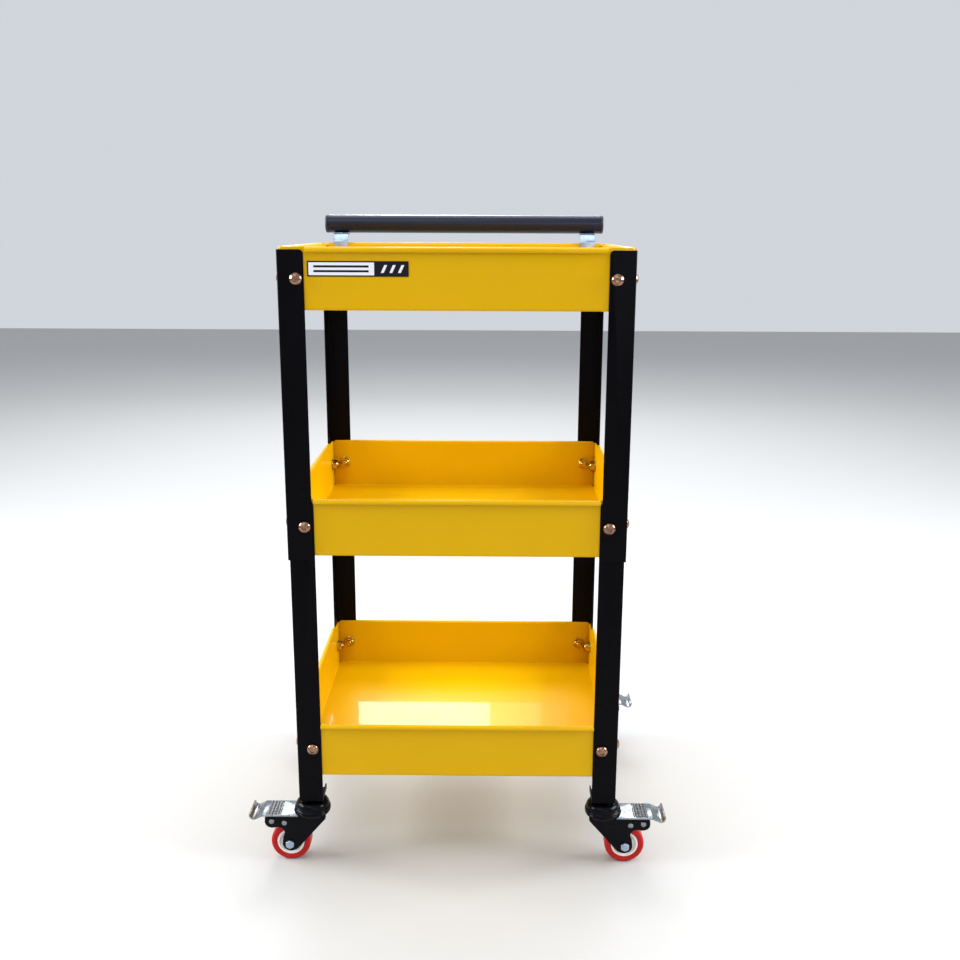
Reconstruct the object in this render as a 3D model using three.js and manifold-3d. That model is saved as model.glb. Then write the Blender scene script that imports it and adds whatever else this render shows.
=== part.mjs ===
// Three-tier rolling tool trolley: three folded sheet-steel trays on four angle-section legs, with a push
// handle behind the top tray and four braked swivel casters.
// Millimetres. +Z is up, the front faces -Y, and the floor is z = 0.
import * as THREE from 'three';
import { mergeVertices } from 'three/addons/utils/BufferGeometryUtils.js';
import Module from 'manifold-3d';

const wasm = await Module();
wasm.setup();

// ---- driving dimensions -------------------------------------------------------------------------------

const frameWidth = 400;
const frameDepth = 360;
const clearance = 0.3;
const holeSides = 8;
const raceSides = 16;
const wheelSides = 28;

// The handle stands behind the frame, so the whole object's middle lies behind the frame's middle. All is
// moved forward by this much, which puts the origin under the middle of the object's own box.
const frameShift = 12.5;

const legFlange = 30;
const legSheet = 1.5;
const legCornerRadius = 5;
const legTop = 762;
const upperLegBottom = 402;
const lowerLegTop = 474;
const lowerLegBottom = 85;
const footPlate = 3;
const footLipTop = 93;

const trayRims = { top: 765, middle: 476.5, bottom: 190 };
const trayHeight = 70;
const traySheet = 1.2;
const trayCornerCut = 5;
const traySlit = 1.5;
const trayRelief = 2.4;
const beadRadius = 3.2;
const beadTurn = 1.5 * Math.PI;
const beadSteps = 9;
const beadEndFromLeg = 2;

const boltHeights = { top: 730, middle: 443, bottom: 156 };
const boltInset = 21;
const sideBoltInset = 24;
const boltRadius = 4;
const boltHeadRadius = 7;
const boltHeadHeight = 4.4;
const nutFlangeRadius = 8.5;
const nutFlangeHeight = 1.6;
const nutAcrossFlats = 13;
const nutHeight = 8;
const boltTail = 2;

const handleRadius = 12.7;
const handleWall = 1.5;
const handleTubeLength = 392;
const handleCapFace = 4;
const handleCapPlug = 9;
const handleHeight = 791;
const handleBehind = 18.8;
const bracketX = 177;
const bracketWidth = 21;
const bracketSheet = 2.5;
const bracketFrom = 721;
const bracketBend = 767.5;
const bracketTabEnd = 8;
const screwRadius = 2.5;
const screwHeadRadius = 4.6;
const screwHeadHeight = 2.8;
const screwDepth = 9;

const labelLength = 113;
const labelHeight = 17;
const labelSheet = 0.5;
const labelFromLeg = 4;
const labelBelowRim = 15.5;

const casterInset = 16;
const stemRadius = 5;
const stemTop = 103;
const collarAcrossFlats = 17;
const stemNutAcrossFlats = 16;
const stemNutHeight = 8;
const raceRadius = 22.5;
const raceSplit = 69;
const raceWeb = 64.5;
const raceWebSheet = 2.5;
const raceWall = 5;
const domeHeight = 12;
const kingPinHeadRadius = 8.5;
const kingPinHeadLow = 58.4;
const kingPinHeadHigh = 61.2;
const casterTrail = 28;
const wheelRadius = 25;
const wheelWidth = 20;
const coreRadius = 17.2;
const coreHubRadius = 7;
const coreHubHalf = 11;
const coreWebHalf = 5;
const coreRimWall = 3.2;
const coreRecess = 0.5;
const tyreEdgeRadius = 3;
const axleRadius = 3;
const forkSheet = 2;
const forkInnerHalf = 11.5;
const forkTop = 63.5;
const forkEndRadius = 9.5;
const forkEarRadius = 8.2;
const axleAcrossFlats = 10;
const axleHeadHeight = 4;
const pinRadius = 2.5;
const pinHeadRadius = 3.4;
const pinHeadHeight = 1.3;
const pedalPivot = { x: 50.5, z: 56 };
const stopPin = { x: 34.5, z: 54 };
const pedalWidth = 36;
const pedalSheet = 2;
const pedalTop = 67;
const pedalCheekInset = 0.5;
const pedalCamRadius = 7;
const pedalHeel = 15;
const pedalFlatEnd = 60;
const pedalDip = THREE.MathUtils.degToRad(26);
const pedalDipRadius = 8;
const pedalDipRun = 7.36;
const pedalRise = THREE.MathUtils.degToRad(75);
const pedalCurlRadius = 4.6;
const pedalTip = 2.6;

// ---- materials ----------------------------------------------------------------------------------------

const finishes = {
  yellowPaint: { color: 0xd8a40c, roughness: 0.3, metalness: 0.0 },
  blackPaint: { color: 0x121218, roughness: 0.35, metalness: 0.0 },
  blackPlastic: { color: 0x1c1e22, roughness: 0.5, metalness: 0.0 },
  zincPlate: { color: 0xb4bac2, roughness: 0.35, metalness: 0.9 },
  bronzedBolt: { color: 0xb08a6c, roughness: 0.3, metalness: 0.9 },
  redPolyurethane: { color: 0xb83430, roughness: 0.35, metalness: 0.0 },
  paleHub: { color: 0xefd9d4, roughness: 0.45, metalness: 0.0 },
  labelFilm: { color: 0xe6e6ea, roughness: 0.4, metalness: 0.0 },
};

// ---- solids -------------------------------------------------------------------------------------------

// Turns a closed geometry into a solid: shared corners merged, flat triangles on an axis dropped.
function toSolid(geometry) {
  const bare = geometry.clone();
  bare.deleteAttribute('normal');
  bare.deleteAttribute('uv');
  const merged = mergeVertices(bare, 1e-4);
  const corners = merged.index.array;
  const triVerts = [];
  for (let i = 0; i < corners.length; i += 3) {
    const [a, b, c] = corners.subarray(i, i + 3);
    if (a !== b && b !== c && c !== a) {
      triVerts.push(a, b, c);
    }
  }
  return new wasm.Manifold(new wasm.Mesh({
    numProp: 3,
    vertProperties: new Float32Array(merged.attributes.position.array),
    triVerts: new Uint32Array(triVerts),
  }));
}

// Turns a solid back into a geometry.
function toGeometry(solid) {
  const mesh = solid.getMesh();
  const geometry = new THREE.BufferGeometry();
  geometry.setAttribute('position', new THREE.BufferAttribute(new Float32Array(mesh.vertProperties), 3));
  geometry.setIndex(new THREE.BufferAttribute(new Uint32Array(mesh.triVerts), 1));
  geometry.computeVertexNormals();
  return geometry;
}

// Joins the first list of geometries and cuts the second list out of them.
function shape3d(added, removed = []) {
  let solid = toSolid(added[0]);
  for (const geometry of added.slice(1)) {
    solid = solid.add(toSolid(geometry));
  }
  for (const geometry of removed) {
    solid = solid.subtract(toSolid(geometry));
  }
  return toGeometry(solid);
}

// A box given by its lowest and highest corners.
function block(x0, y0, z0, x1, y1, z1) {
  const geometry = new THREE.BoxGeometry(Math.abs(x1 - x0), Math.abs(y1 - y0), Math.abs(z1 - z0));
  return geometry.translate((x0 + x1) / 2, (y0 + y1) / 2, (z0 + z1) / 2);
}

// A round bar along Z from z0 to z1.
function barZ(radius, z0, z1, segments = 16) {
  const geometry = new THREE.CylinderGeometry(radius, radius, z1 - z0, segments);
  return geometry.rotateX(Math.PI / 2).translate(0, 0, (z0 + z1) / 2);
}

// A round bar along Y from y0 to y1.
function barY(radius, y0, y1, segments = 16) {
  const geometry = new THREE.CylinderGeometry(radius, radius, y1 - y0, segments);
  return geometry.translate(0, (y0 + y1) / 2, 0);
}

// A round bar along X from x0 to x1.
function barX(radius, x0, x1, segments = 16) {
  const geometry = new THREE.CylinderGeometry(radius, radius, x1 - x0, segments);
  return geometry.rotateZ(Math.PI / 2).translate((x0 + x1) / 2, 0, 0);
}

// A hexagonal bar along Y from y0 to y1.
function hexY(acrossFlats, y0, y1) {
  return barY(acrossFlats / Math.sqrt(3), y0, y1, 6);
}

// A hexagonal bar along Z from z0 to z1.
function hexZ(acrossFlats, z0, z1) {
  return barZ(acrossFlats / Math.sqrt(3), z0, z1, 6);
}

// A body of revolution about Z. The outline is a list of [radius, height] pairs.
function turned(outline, segments = 24) {
  const points = outline.map(([radius, height]) => new THREE.Vector2(radius, height));
  return new THREE.LatheGeometry(points, segments).rotateX(Math.PI / 2);
}

// A plate in the XZ plane, from y0 to y1. The outline is a THREE.Shape in x and z.
function plateXZ(outline, y0, y1, curveSegments = 4) {
  const geometry = new THREE.ExtrudeGeometry(outline, {
    depth: y1 - y0,
    bevelEnabled: false,
    curveSegments,
  });
  return geometry.rotateX(Math.PI / 2).translate(0, y1, 0);
}

// A plate in the YZ plane, from x0 to x1. The outline is a THREE.Shape in y and z.
function plateYZ(outline, x0, x1, curveSegments = 4) {
  const geometry = new THREE.ExtrudeGeometry(outline, {
    depth: x1 - x0,
    bevelEnabled: false,
    curveSegments,
  });
  return geometry.rotateX(Math.PI / 2).rotateZ(Math.PI / 2).translate(x0, 0, 0);
}

// A closed outline through straight points.
function polygon(points) {
  return new THREE.Shape(points.map(([x, y]) => new THREE.Vector2(x, y)));
}

// One named piece of the object.
function piece(name, geometry, finish) {
  const mesh = new THREE.Mesh(geometry, new THREE.MeshStandardMaterial(finishes[finish]));
  mesh.name = name;
  return mesh;
}

// ---- legs ---------------------------------------------------------------------------------------------

// One flange of an angle leg, from the leg's outer corner inwards, with its free top corner rounded.
function flangeOutline(side, outer, bottom, top) {
  const free = outer - side * legFlange;
  const outline = new THREE.Shape();
  outline.moveTo(outer, bottom);
  outline.lineTo(free, bottom);
  outline.lineTo(free, top - legCornerRadius);
  outline.quadraticCurveTo(free, top, free + side * legCornerRadius, top);
  outline.lineTo(outer, top);
  outline.closePath();
  return outline;
}

// An angle leg whose outer corner is inset from the frame's corner, drilled at each tray's bolt height.
function legGeometry(sideX, sideY, inset, bottom, top, holeHeights, foot) {
  const outerX = sideX * (frameWidth / 2 - inset);
  const outerY = sideY * (frameDepth / 2 - inset);
  const innerX = outerX - sideX * legSheet;
  const innerY = outerY - sideY * legSheet;
  const faceY = [outerY, innerY].sort((a, b) => a - b);
  const faceX = [outerX, innerX].sort((a, b) => a - b);
  const added = [
    plateXZ(flangeOutline(sideX, outerX, bottom, top), faceY[0], faceY[1]),
    plateYZ(flangeOutline(sideY, outerY, bottom, top), faceX[0], faceX[1]),
  ];
  const removed = [];
  for (const height of holeHeights) {
    const holeX = sideX * (frameWidth / 2 - boltInset);
    const holeY = sideY * (frameDepth / 2 - sideBoltInset);
    const hole = boltRadius + clearance;
    removed.push(barY(hole, faceY[0] - 1, faceY[1] + 1, holeSides).translate(holeX, 0, height));
    removed.push(barX(hole, faceX[0] - 1, faceX[1] + 1, holeSides).translate(0, holeY, height));
  }
  if (foot) {
    const endX = outerX - sideX * legFlange;
    const endY = outerY - sideY * legFlange;
    const stemX = sideX * (frameWidth / 2 - casterInset);
    const stemY = sideY * (frameDepth / 2 - casterInset);
    const x0 = outerX - sideX * legSheet * 0.5;
    const y0 = outerY - sideY * legSheet * 0.5;
    added.push(block(x0, y0, bottom, endX, endY, bottom + footPlate));
    added.push(block(endX, y0, bottom, endX + sideX * legSheet, endY, footLipTop));
    removed.push(barZ(stemRadius + clearance, bottom - 1, bottom + footPlate + 1, holeSides)
      .translate(stemX, stemY, 0));
  }
  return shape3d(added, removed);
}

// ---- trays --------------------------------------------------------------------------------------------

// A wall's outline: as long as its fold, with its two free top corners cut off.
function wallOutline(half) {
  return polygon([
    [-half, -trayHeight],
    [half, -trayHeight],
    [half, -trayCornerCut],
    [half - trayCornerCut, 0],
    [-half + trayCornerCut, 0],
    [-half, -trayCornerCut],
  ]);
}

// The section of a rolled rim: the wall's sheet curled outwards and down into an open bead, whose inside
// edge runs on from the wall.
function beadOutline(face, side) {
  const middle = face + side * (beadRadius - traySheet);
  const curl = (radius, step) => {
    const angle = beadTurn * step / beadSteps;
    return [middle - side * radius * Math.cos(angle), -beadRadius + radius * Math.sin(angle)];
  };
  const outside = [];
  const inside = [];
  for (let step = 0; step <= beadSteps; step += 1) {
    outside.push(curl(beadRadius, step));
    inside.push(curl(beadRadius - traySheet, step));
  }
  return polygon([...outside, ...inside.reverse()]);
}

// A tray around its own middle, with its rim at z = 0, its walls' outer faces at the given halves, and its
// holes the given depth below the rim.
function trayGeometry(halfX, halfY, holeDepth) {
  const beadEndX = frameWidth / 2 - legFlange - beadEndFromLeg;
  const beadEndY = frameDepth / 2 - legFlange - beadEndFromLeg;
  const sideHalf = halfY - traySheet - traySlit;
  const floorTop = -trayHeight + traySheet;
  const added = [block(-halfX, -halfY, -trayHeight, halfX, halfY, floorTop)];
  const removed = [];
  for (const side of [-1, 1]) {
    const faceY = [side * halfY, side * (halfY - traySheet)].sort((a, b) => a - b);
    const faceX = [side * halfX, side * (halfX - traySheet)].sort((a, b) => a - b);
    added.push(plateXZ(wallOutline(halfX), faceY[0], faceY[1]));
    added.push(plateYZ(wallOutline(sideHalf), faceX[0], faceX[1]));
    added.push(plateYZ(beadOutline(side * halfY, side), -beadEndX, beadEndX));
    added.push(plateXZ(beadOutline(side * halfX, side), -beadEndY, beadEndY));
    for (const other of [-1, 1]) {
      const holeX = other * (frameWidth / 2 - boltInset);
      const holeY = other * (frameDepth / 2 - sideBoltInset);
      const hole = boltRadius + clearance;
      removed.push(barY(hole, faceY[0] - 1, faceY[1] + 1, holeSides).translate(holeX, 0, -holeDepth));
      removed.push(barX(hole, faceX[0] - 1, faceX[1] + 1, holeSides).translate(0, holeY, -holeDepth));
      const reliefX = other * (halfX - traySheet - trayRelief);
      const reliefY = side * (halfY - traySheet - trayRelief);
      removed.push(block(reliefX, reliefY, -trayHeight - 1, other * (halfX + 1), side * (halfY + 1),
        floorTop + trayRelief / 2));
    }
  }
  return shape3d(added, removed);
}

// ---- fasteners ----------------------------------------------------------------------------------------

// A button-head bolt along +Y with its flanged nut run on. The head's seat is at y = 0 and the nut's seat
// is at y = grip.
function boltGeometry(grip) {
  const nutEnd = grip + nutHeight;
  const head = turned([[0, 0], [boltHeadRadius, 0], [boltHeadRadius * 0.86, boltHeadHeight * 0.6],
    [boltHeadRadius * 0.5, boltHeadHeight], [0, boltHeadHeight]], 12).rotateX(Math.PI / 2);
  return shape3d([
    head,
    barY(boltRadius, -1, nutEnd + boltTail, holeSides),
    barY(nutFlangeRadius, grip, grip + nutFlangeHeight, 12),
    hexY(nutAcrossFlats, grip + nutFlangeHeight / 2, nutEnd),
  ]);
}

// ---- handle -------------------------------------------------------------------------------------------

// The handle's tube along X.
function handleTubeGeometry() {
  const half = handleTubeLength / 2;
  const bore = handleRadius - handleWall;
  const removed = [barX(bore, -half - 1, half + 1, 16)];
  for (const side of [-1, 1]) {
    removed.push(barZ(screwRadius + clearance, -handleRadius - 1, 0, holeSides)
      .translate(side * bracketX, 0, 0));
  }
  return shape3d([barX(handleRadius, -half, half, 24)], removed);
}

// An end cap with its face at x = 0 and its plug towards +X.
function handleCapGeometry() {
  return shape3d([
    barX(handleRadius, -handleCapFace, -clearance, 24),
    barX(handleRadius - handleWall - clearance, -1, handleCapPlug, 16),
  ]);
}

// A folded bracket: flat against the tray's rear wall, bent back over the rim, then level under the tube.
function bracketGeometry(wallY, side) {
  const front = wallY - clearance - bracketSheet;
  const back = wallY - clearance;
  const tubeY = frameDepth / 2 + handleBehind;
  const tabTop = handleHeight - handleRadius - clearance;
  const tabFront = front + (tabTop - bracketBend);
  const fold = bracketSheet * Math.tan(Math.PI / 8);
  const outline = polygon([
    [front, bracketFrom],
    [back, bracketFrom],
    [back, bracketBend - fold],
    [tabFront + fold, tabTop - bracketSheet],
    [tubeY + bracketTabEnd, tabTop - bracketSheet],
    [tubeY + bracketTabEnd, tabTop],
    [tabFront, tabTop],
    [front, bracketBend],
  ]);
  return shape3d(
    [plateYZ(outline, -bracketWidth / 2, bracketWidth / 2)],
    [
      barY(boltRadius + clearance, front - 1, back + 1, holeSides)
        .translate(side * (frameWidth / 2 - boltInset - bracketX), 0, boltHeights.top),
      barZ(screwRadius + clearance, tabTop - bracketSheet - 1, tabTop + 1, holeSides).translate(0, tubeY, 0),
    ],
  );
}

// A pan-head screw pointing up, with its head's seat at z = 0.
function handleScrewGeometry() {
  return shape3d([
    turned([[0, -screwHeadHeight], [screwHeadRadius * 0.7, -screwHeadHeight],
      [screwHeadRadius, -screwHeadHeight * 0.4], [screwHeadRadius, 0], [0, 0]], holeSides),
    barZ(screwRadius, -1, screwDepth, holeSides),
  ]);
}

// ---- casters ------------------------------------------------------------------------------------------
// Each caster is drawn about its stem's axis, with its wheel trailing towards +X.

// The part that doesn't swivel: threaded stem, hexagonal collar, domed upper race and king pin.
function casterStemGeometry() {
  const underside = raceSplit + clearance;
  const domeTop = underside + domeHeight;
  const collarTop = lowerLegBottom - clearance;
  const dome = [
    [0, underside],
    [raceRadius, underside],
    [raceRadius, underside + domeHeight * 0.25],
    [raceRadius * 0.95, underside + domeHeight * 0.55],
    [raceRadius * 0.84, underside + domeHeight * 0.82],
    [raceRadius * 0.68, domeTop],
    [0, domeTop],
  ];
  return shape3d([
    turned(dome, raceSides),
    hexZ(collarAcrossFlats, domeTop - 1, collarTop),
    barZ(stemRadius, kingPinHeadHigh - 1, stemTop, holeSides),
    barZ(kingPinHeadRadius, kingPinHeadLow, kingPinHeadHigh, holeSides),
  ]);
}

// The outline of a fork's side: from the crown down to a round end about the axle, and out to the pins.
// The angles are where each arc starts and ends, and the curves between them clear the tyre.
function forkOutline() {
  const endFrom = Math.PI + 0.72;
  const endTo = 2 * Math.PI + 0.45;
  const earFrom = 1.5 * Math.PI - 0.3;
  const earTo = 2 * Math.PI + 0.9;
  const crownBack = -18.5;
  const outline = new THREE.Shape();
  outline.moveTo(crownBack, forkTop);
  outline.quadraticCurveTo(crownBack + 0.5, forkTop - 3, crownBack + 3.5, forkTop - 6);
  outline.lineTo(
    casterTrail + forkEndRadius * Math.cos(endFrom),
    wheelRadius + forkEndRadius * Math.sin(endFrom),
  );
  outline.absarc(casterTrail, wheelRadius, forkEndRadius, endFrom, endTo, false);
  outline.quadraticCurveTo(casterTrail + 5, wheelRadius + 13, casterTrail + 6, wheelRadius + 17);
  outline.quadraticCurveTo(casterTrail + 10, wheelRadius + 23.5,
    pedalPivot.x - 3, pedalPivot.z - forkEarRadius);
  outline.absarc(pedalPivot.x, pedalPivot.z, forkEarRadius, earFrom, earTo, false);
  outline.lineTo(raceRadius - raceWall / 2, forkTop);
  outline.closePath();
  return outline;
}

// The swivelling fork: lower race, two sides, and the two pins riveted through its ears.
function forkGeometry() {
  const outer = forkInnerHalf + forkSheet;
  const bore = stemRadius + 1;
  const low = raceWeb - raceWebSheet;
  const lowerRace = [
    [bore, low],
    [raceRadius - raceWall * 0.8, low],
    [raceRadius, raceWeb + 1],
    [raceRadius, raceSplit],
    [raceRadius - raceWall, raceSplit],
    [raceRadius - raceWall, raceWeb],
    [bore, raceWeb],
    [bore, low],
  ];
  const added = [turned(lowerRace, raceSides)];
  for (const side of [-1, 1]) {
    const face = [side * forkInnerHalf, side * outer].sort((a, b) => a - b);
    added.push(plateXZ(forkOutline(), face[0], face[1], 3));
  }
  const removed = [];
  for (const pin of [pedalPivot, stopPin]) {
    const reach = outer + pinHeadHeight;
    added.push(barY(pinRadius, -outer, outer, holeSides).translate(pin.x, 0, pin.z));
    added.push(barY(pinHeadRadius, -reach, -outer + 1, holeSides).translate(pin.x, 0, pin.z));
    added.push(barY(pinHeadRadius, outer - 1, reach, holeSides).translate(pin.x, 0, pin.z));
  }
  removed.push(barY(axleRadius + clearance, -outer - 1, outer + 1, holeSides)
    .translate(casterTrail, 0, wheelRadius));
  return shape3d(added, removed);
}

// The axle bolt along Y about the wheel's axis, with its nut.
function axleGeometry() {
  const seat = forkInnerHalf + forkSheet + clearance;
  return shape3d([
    barY(axleRadius, -seat - 1, seat + axleHeadHeight + 1, holeSides),
    hexY(axleAcrossFlats, -seat - axleHeadHeight, -seat),
    hexY(axleAcrossFlats, seat, seat + axleHeadHeight),
  ]);
}

// The wheel's core: rim, thin web and hub, bored for the axle.
function wheelCoreGeometry() {
  const rim = wheelWidth / 2 - coreRecess;
  const bore = axleRadius + clearance;
  const half = [
    [bore, coreHubHalf],
    [coreHubRadius, coreHubHalf],
    [coreHubRadius, coreWebHalf],
    [coreRadius - coreRimWall, coreWebHalf],
    [coreRadius - coreRimWall, rim],
    [coreRadius, rim],
  ];
  const other = half.map(([radius, z]) => [radius, -z]);
  return turned([...other, ...half.reverse(), other[0]], raceSides).rotateX(Math.PI / 2);
}

// The wheel's tyre, a ring around the core.
function tyreGeometry() {
  const half = wheelWidth / 2;
  const inner = coreRadius + clearance;
  const shoulder = wheelRadius - tyreEdgeRadius;
  const soft = half - tyreEdgeRadius;
  return turned([[inner, -half], [shoulder, -half], [wheelRadius, -soft], [wheelRadius, soft],
    [shoulder, half], [inner, half], [inner, -half]], wheelSides)
    .rotateX(Math.PI / 2);
}

// The pedal's section along the caster: a level tread that dips and curls up into a toe hook. The sheet's
// middle line is two arcs with a straight run between them, and a straight tip.
function pedalOutline() {
  const half = pedalSheet / 2;
  const level = pedalTop - half;
  const bends = pedalDipRadius + pedalCurlRadius;
  const dipZ = level - pedalDipRadius;
  const curlX = pedalFlatEnd + bends * Math.sin(pedalDip) + pedalDipRun * Math.cos(pedalDip);
  const curlZ = dipZ + bends * Math.cos(pedalDip) - pedalDipRun * Math.sin(pedalDip);
  const dipFrom = Math.PI / 2;
  const dipTo = dipFrom - pedalDip;
  const curlFrom = -Math.PI / 2 - pedalDip;
  const curlTo = -Math.PI / 2 + pedalRise;
  const tip = (radius) => [
    curlX + radius * Math.sin(pedalRise) + pedalTip * Math.cos(pedalRise),
    curlZ - radius * Math.cos(pedalRise) + pedalTip * Math.sin(pedalRise),
  ];
  const outline = new THREE.Shape();
  outline.moveTo(pedalHeel, level - half);
  outline.absarc(pedalFlatEnd, dipZ, pedalDipRadius - half, dipFrom, dipTo, true);
  outline.absarc(curlX, curlZ, pedalCurlRadius + half, curlFrom, curlTo, false);
  outline.lineTo(...tip(pedalCurlRadius + half));
  outline.lineTo(...tip(pedalCurlRadius - half));
  outline.absarc(curlX, curlZ, pedalCurlRadius - half, curlTo, curlFrom, true);
  outline.absarc(pedalFlatEnd, dipZ, pedalDipRadius + half, dipTo, dipFrom, false);
  outline.lineTo(pedalHeel, level + half);
  outline.closePath();
  return outline;
}

// The brake pedal: the tread, and two cheeks on the pivot pin that carry the cam.
function pedalGeometry() {
  const cheekOuter = forkInnerHalf - pedalCheekInset;
  const cheekInner = cheekOuter - pedalSheet;
  const cheekTop = pedalTop - pedalSheet / 2;
  const cheek = new THREE.Shape();
  cheek.moveTo(pedalPivot.x - pedalCamRadius - 1.5, cheekTop);
  cheek.lineTo(pedalPivot.x - pedalCamRadius, pedalPivot.z);
  cheek.absarc(pedalPivot.x, pedalPivot.z, pedalCamRadius, Math.PI, 2 * Math.PI, false);
  cheek.lineTo(pedalPivot.x + pedalCamRadius + 1, cheekTop);
  cheek.closePath();
  const added = [plateXZ(pedalOutline(), -pedalWidth / 2, pedalWidth / 2, 4)];
  for (const side of [-1, 1]) {
    const face = [side * cheekInner, side * cheekOuter].sort((a, b) => a - b);
    added.push(plateXZ(cheek, face[0], face[1], 3));
  }
  added.push(barY(pedalCamRadius, -cheekInner - 0.5, cheekInner + 0.5, raceSides)
    .translate(pedalPivot.x, 0, pedalPivot.z));
  return shape3d(added, [
    barZ(raceRadius + 1, pedalTop - pedalSheet - 1, pedalTop + 1, raceSides),
    barY(pinRadius + clearance, -pedalWidth, pedalWidth, holeSides).translate(pedalPivot.x, 0, pedalPivot.z),
  ]);
}

// A hexagonal nut on a caster's stem, standing on z = 0.
function stemNutGeometry() {
  return shape3d([hexZ(stemNutAcrossFlats, 0, stemNutHeight)],
    [barZ(stemRadius + clearance, -1, stemNutHeight + 1, holeSides)]);
}

// ---- assembly -----------------------------------------------------------------------------------------

const trolley = new THREE.Group();
trolley.position.y = -frameShift;

const corners = [
  { name: 'front_left', x: -1, y: -1 },
  { name: 'front_right', x: 1, y: -1 },
  { name: 'rear_left', x: -1, y: 1 },
  { name: 'rear_right', x: 1, y: 1 },
];

const nested = legSheet + clearance;

for (const corner of corners) {
  const upper = legGeometry(corner.x, corner.y, 0, upperLegBottom, legTop,
    [boltHeights.top, boltHeights.middle], false);
  const lower = legGeometry(corner.x, corner.y, nested, lowerLegBottom, lowerLegTop,
    [boltHeights.middle, boltHeights.bottom], true);
  trolley.add(piece(`upper_leg_${corner.name}`, upper, 'blackPaint'));
  trolley.add(piece(`lower_leg_${corner.name}`, lower, 'blackPaint'));
}

// The top tray lies inside one layer of leg, and the two lower trays inside two.
const wallInset = { top: nested, middle: 2 * nested, bottom: 2 * nested };
for (const tray of Object.keys(trayRims)) {
  const inset = wallInset[tray];
  const holeDepth = trayRims[tray] - boltHeights[tray];
  const geometry = trayGeometry(frameWidth / 2 - inset, frameDepth / 2 - inset, holeDepth);
  const mesh = piece(`${tray}_tray`, geometry, 'yellowPaint');
  mesh.position.z = trayRims[tray];
  trolley.add(mesh);
}

// The bolts through the front and rear faces. The outer leg layer that the head rests on is the upper leg's,
// except at the bottom tray, where the lower leg is alone.
for (const tray of Object.keys(trayRims)) {
  const seatInset = tray === 'bottom' ? nested : 0;
  for (const corner of corners) {
    const throughBracket = tray === 'top' && corner.y > 0 ? bracketSheet + clearance : 0;
    const grip = wallInset[tray] - seatInset + traySheet + throughBracket + 2 * clearance;
    const bolt = piece(`tray_bolt_${tray}_${corner.name}`, boltGeometry(grip), 'bronzedBolt');
    bolt.position.set(
      corner.x * (frameWidth / 2 - boltInset),
      corner.y * (frameDepth / 2 - seatInset + clearance),
      boltHeights[tray],
    );
    bolt.rotation.z = corner.y > 0 ? Math.PI : 0;
    trolley.add(bolt);
  }
}

const handleY = frameDepth / 2 + handleBehind;
const handleTube = piece('handle_tube', handleTubeGeometry(), 'blackPaint');
handleTube.position.set(0, handleY, handleHeight);
trolley.add(handleTube);

for (const side of [-1, 1]) {
  const name = side < 0 ? 'left' : 'right';
  const cap = piece(`handle_cap_${name}`, handleCapGeometry(), 'blackPlastic');
  cap.position.set(side * handleTubeLength / 2, handleY, handleHeight);
  cap.rotation.z = side < 0 ? 0 : Math.PI;
  trolley.add(cap);

  const wallY = frameDepth / 2 - wallInset.top - traySheet;
  const bracket = piece(`handle_bracket_${name}`, bracketGeometry(wallY, side), 'zincPlate');
  bracket.position.x = side * bracketX;
  trolley.add(bracket);

  const screw = piece(`handle_screw_${name}`, handleScrewGeometry(), 'zincPlate');
  const seat = handleHeight - handleRadius - clearance - bracketSheet - clearance;
  screw.position.set(side * bracketX, handleY, seat);
  trolley.add(screw);
}

const labelX = -frameWidth / 2 + legFlange + labelFromLeg + labelLength / 2;
const labelY = -frameDepth / 2 + wallInset.top - clearance - labelSheet / 2;
const label = piece('label_plate', new THREE.BoxGeometry(labelLength, labelSheet, labelHeight), 'labelFilm');
label.position.set(labelX, labelY, trayRims.top - labelBelowRim - labelHeight / 2);
trolley.add(label);

for (const corner of corners) {
  const caster = new THREE.Group();
  caster.position.set(
    corner.x * (frameWidth / 2 - casterInset),
    corner.y * (frameDepth / 2 - casterInset),
    0,
  );
  caster.rotation.z = corner.x < 0 ? Math.PI : 0;

  caster.add(piece(`caster_stem_${corner.name}`, casterStemGeometry(), 'blackPaint'));
  caster.add(piece(`caster_fork_${corner.name}`, forkGeometry(), 'blackPaint'));
  caster.add(piece(`brake_pedal_${corner.name}`, pedalGeometry(), 'zincPlate'));

  const nut = piece(`stem_nut_${corner.name}`, stemNutGeometry(), 'zincPlate');
  nut.position.z = lowerLegBottom + footPlate + clearance;
  caster.add(nut);

  const wheel = new THREE.Group();
  wheel.position.set(casterTrail, 0, wheelRadius);
  wheel.add(piece(`wheel_axle_${corner.name}`, axleGeometry(), 'zincPlate'));
  wheel.add(piece(`wheel_core_${corner.name}`, wheelCoreGeometry(), 'paleHub'));
  wheel.add(piece(`wheel_tyre_${corner.name}`, tyreGeometry(), 'redPolyurethane'));
  caster.add(wheel);

  trolley.add(caster);
}

export default trolley;
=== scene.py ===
"""Visual model of a three-tier rolling tool trolley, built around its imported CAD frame.

Folded sheet-steel trays, angle-section legs, a push handle and four braked swivel casters. Metres, +Z up,
the front faces -Y. Each sub-assembly is a class that builds its meshes by hand-style modelling and dresses
them in finishes that are named for the real ones.
"""

import logging
import math
from dataclasses import dataclass, field
from enum import Enum
from typing import Any, Optional, Sequence, Union

import bmesh
import bpy
from mathutils import Matrix, Vector


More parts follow.
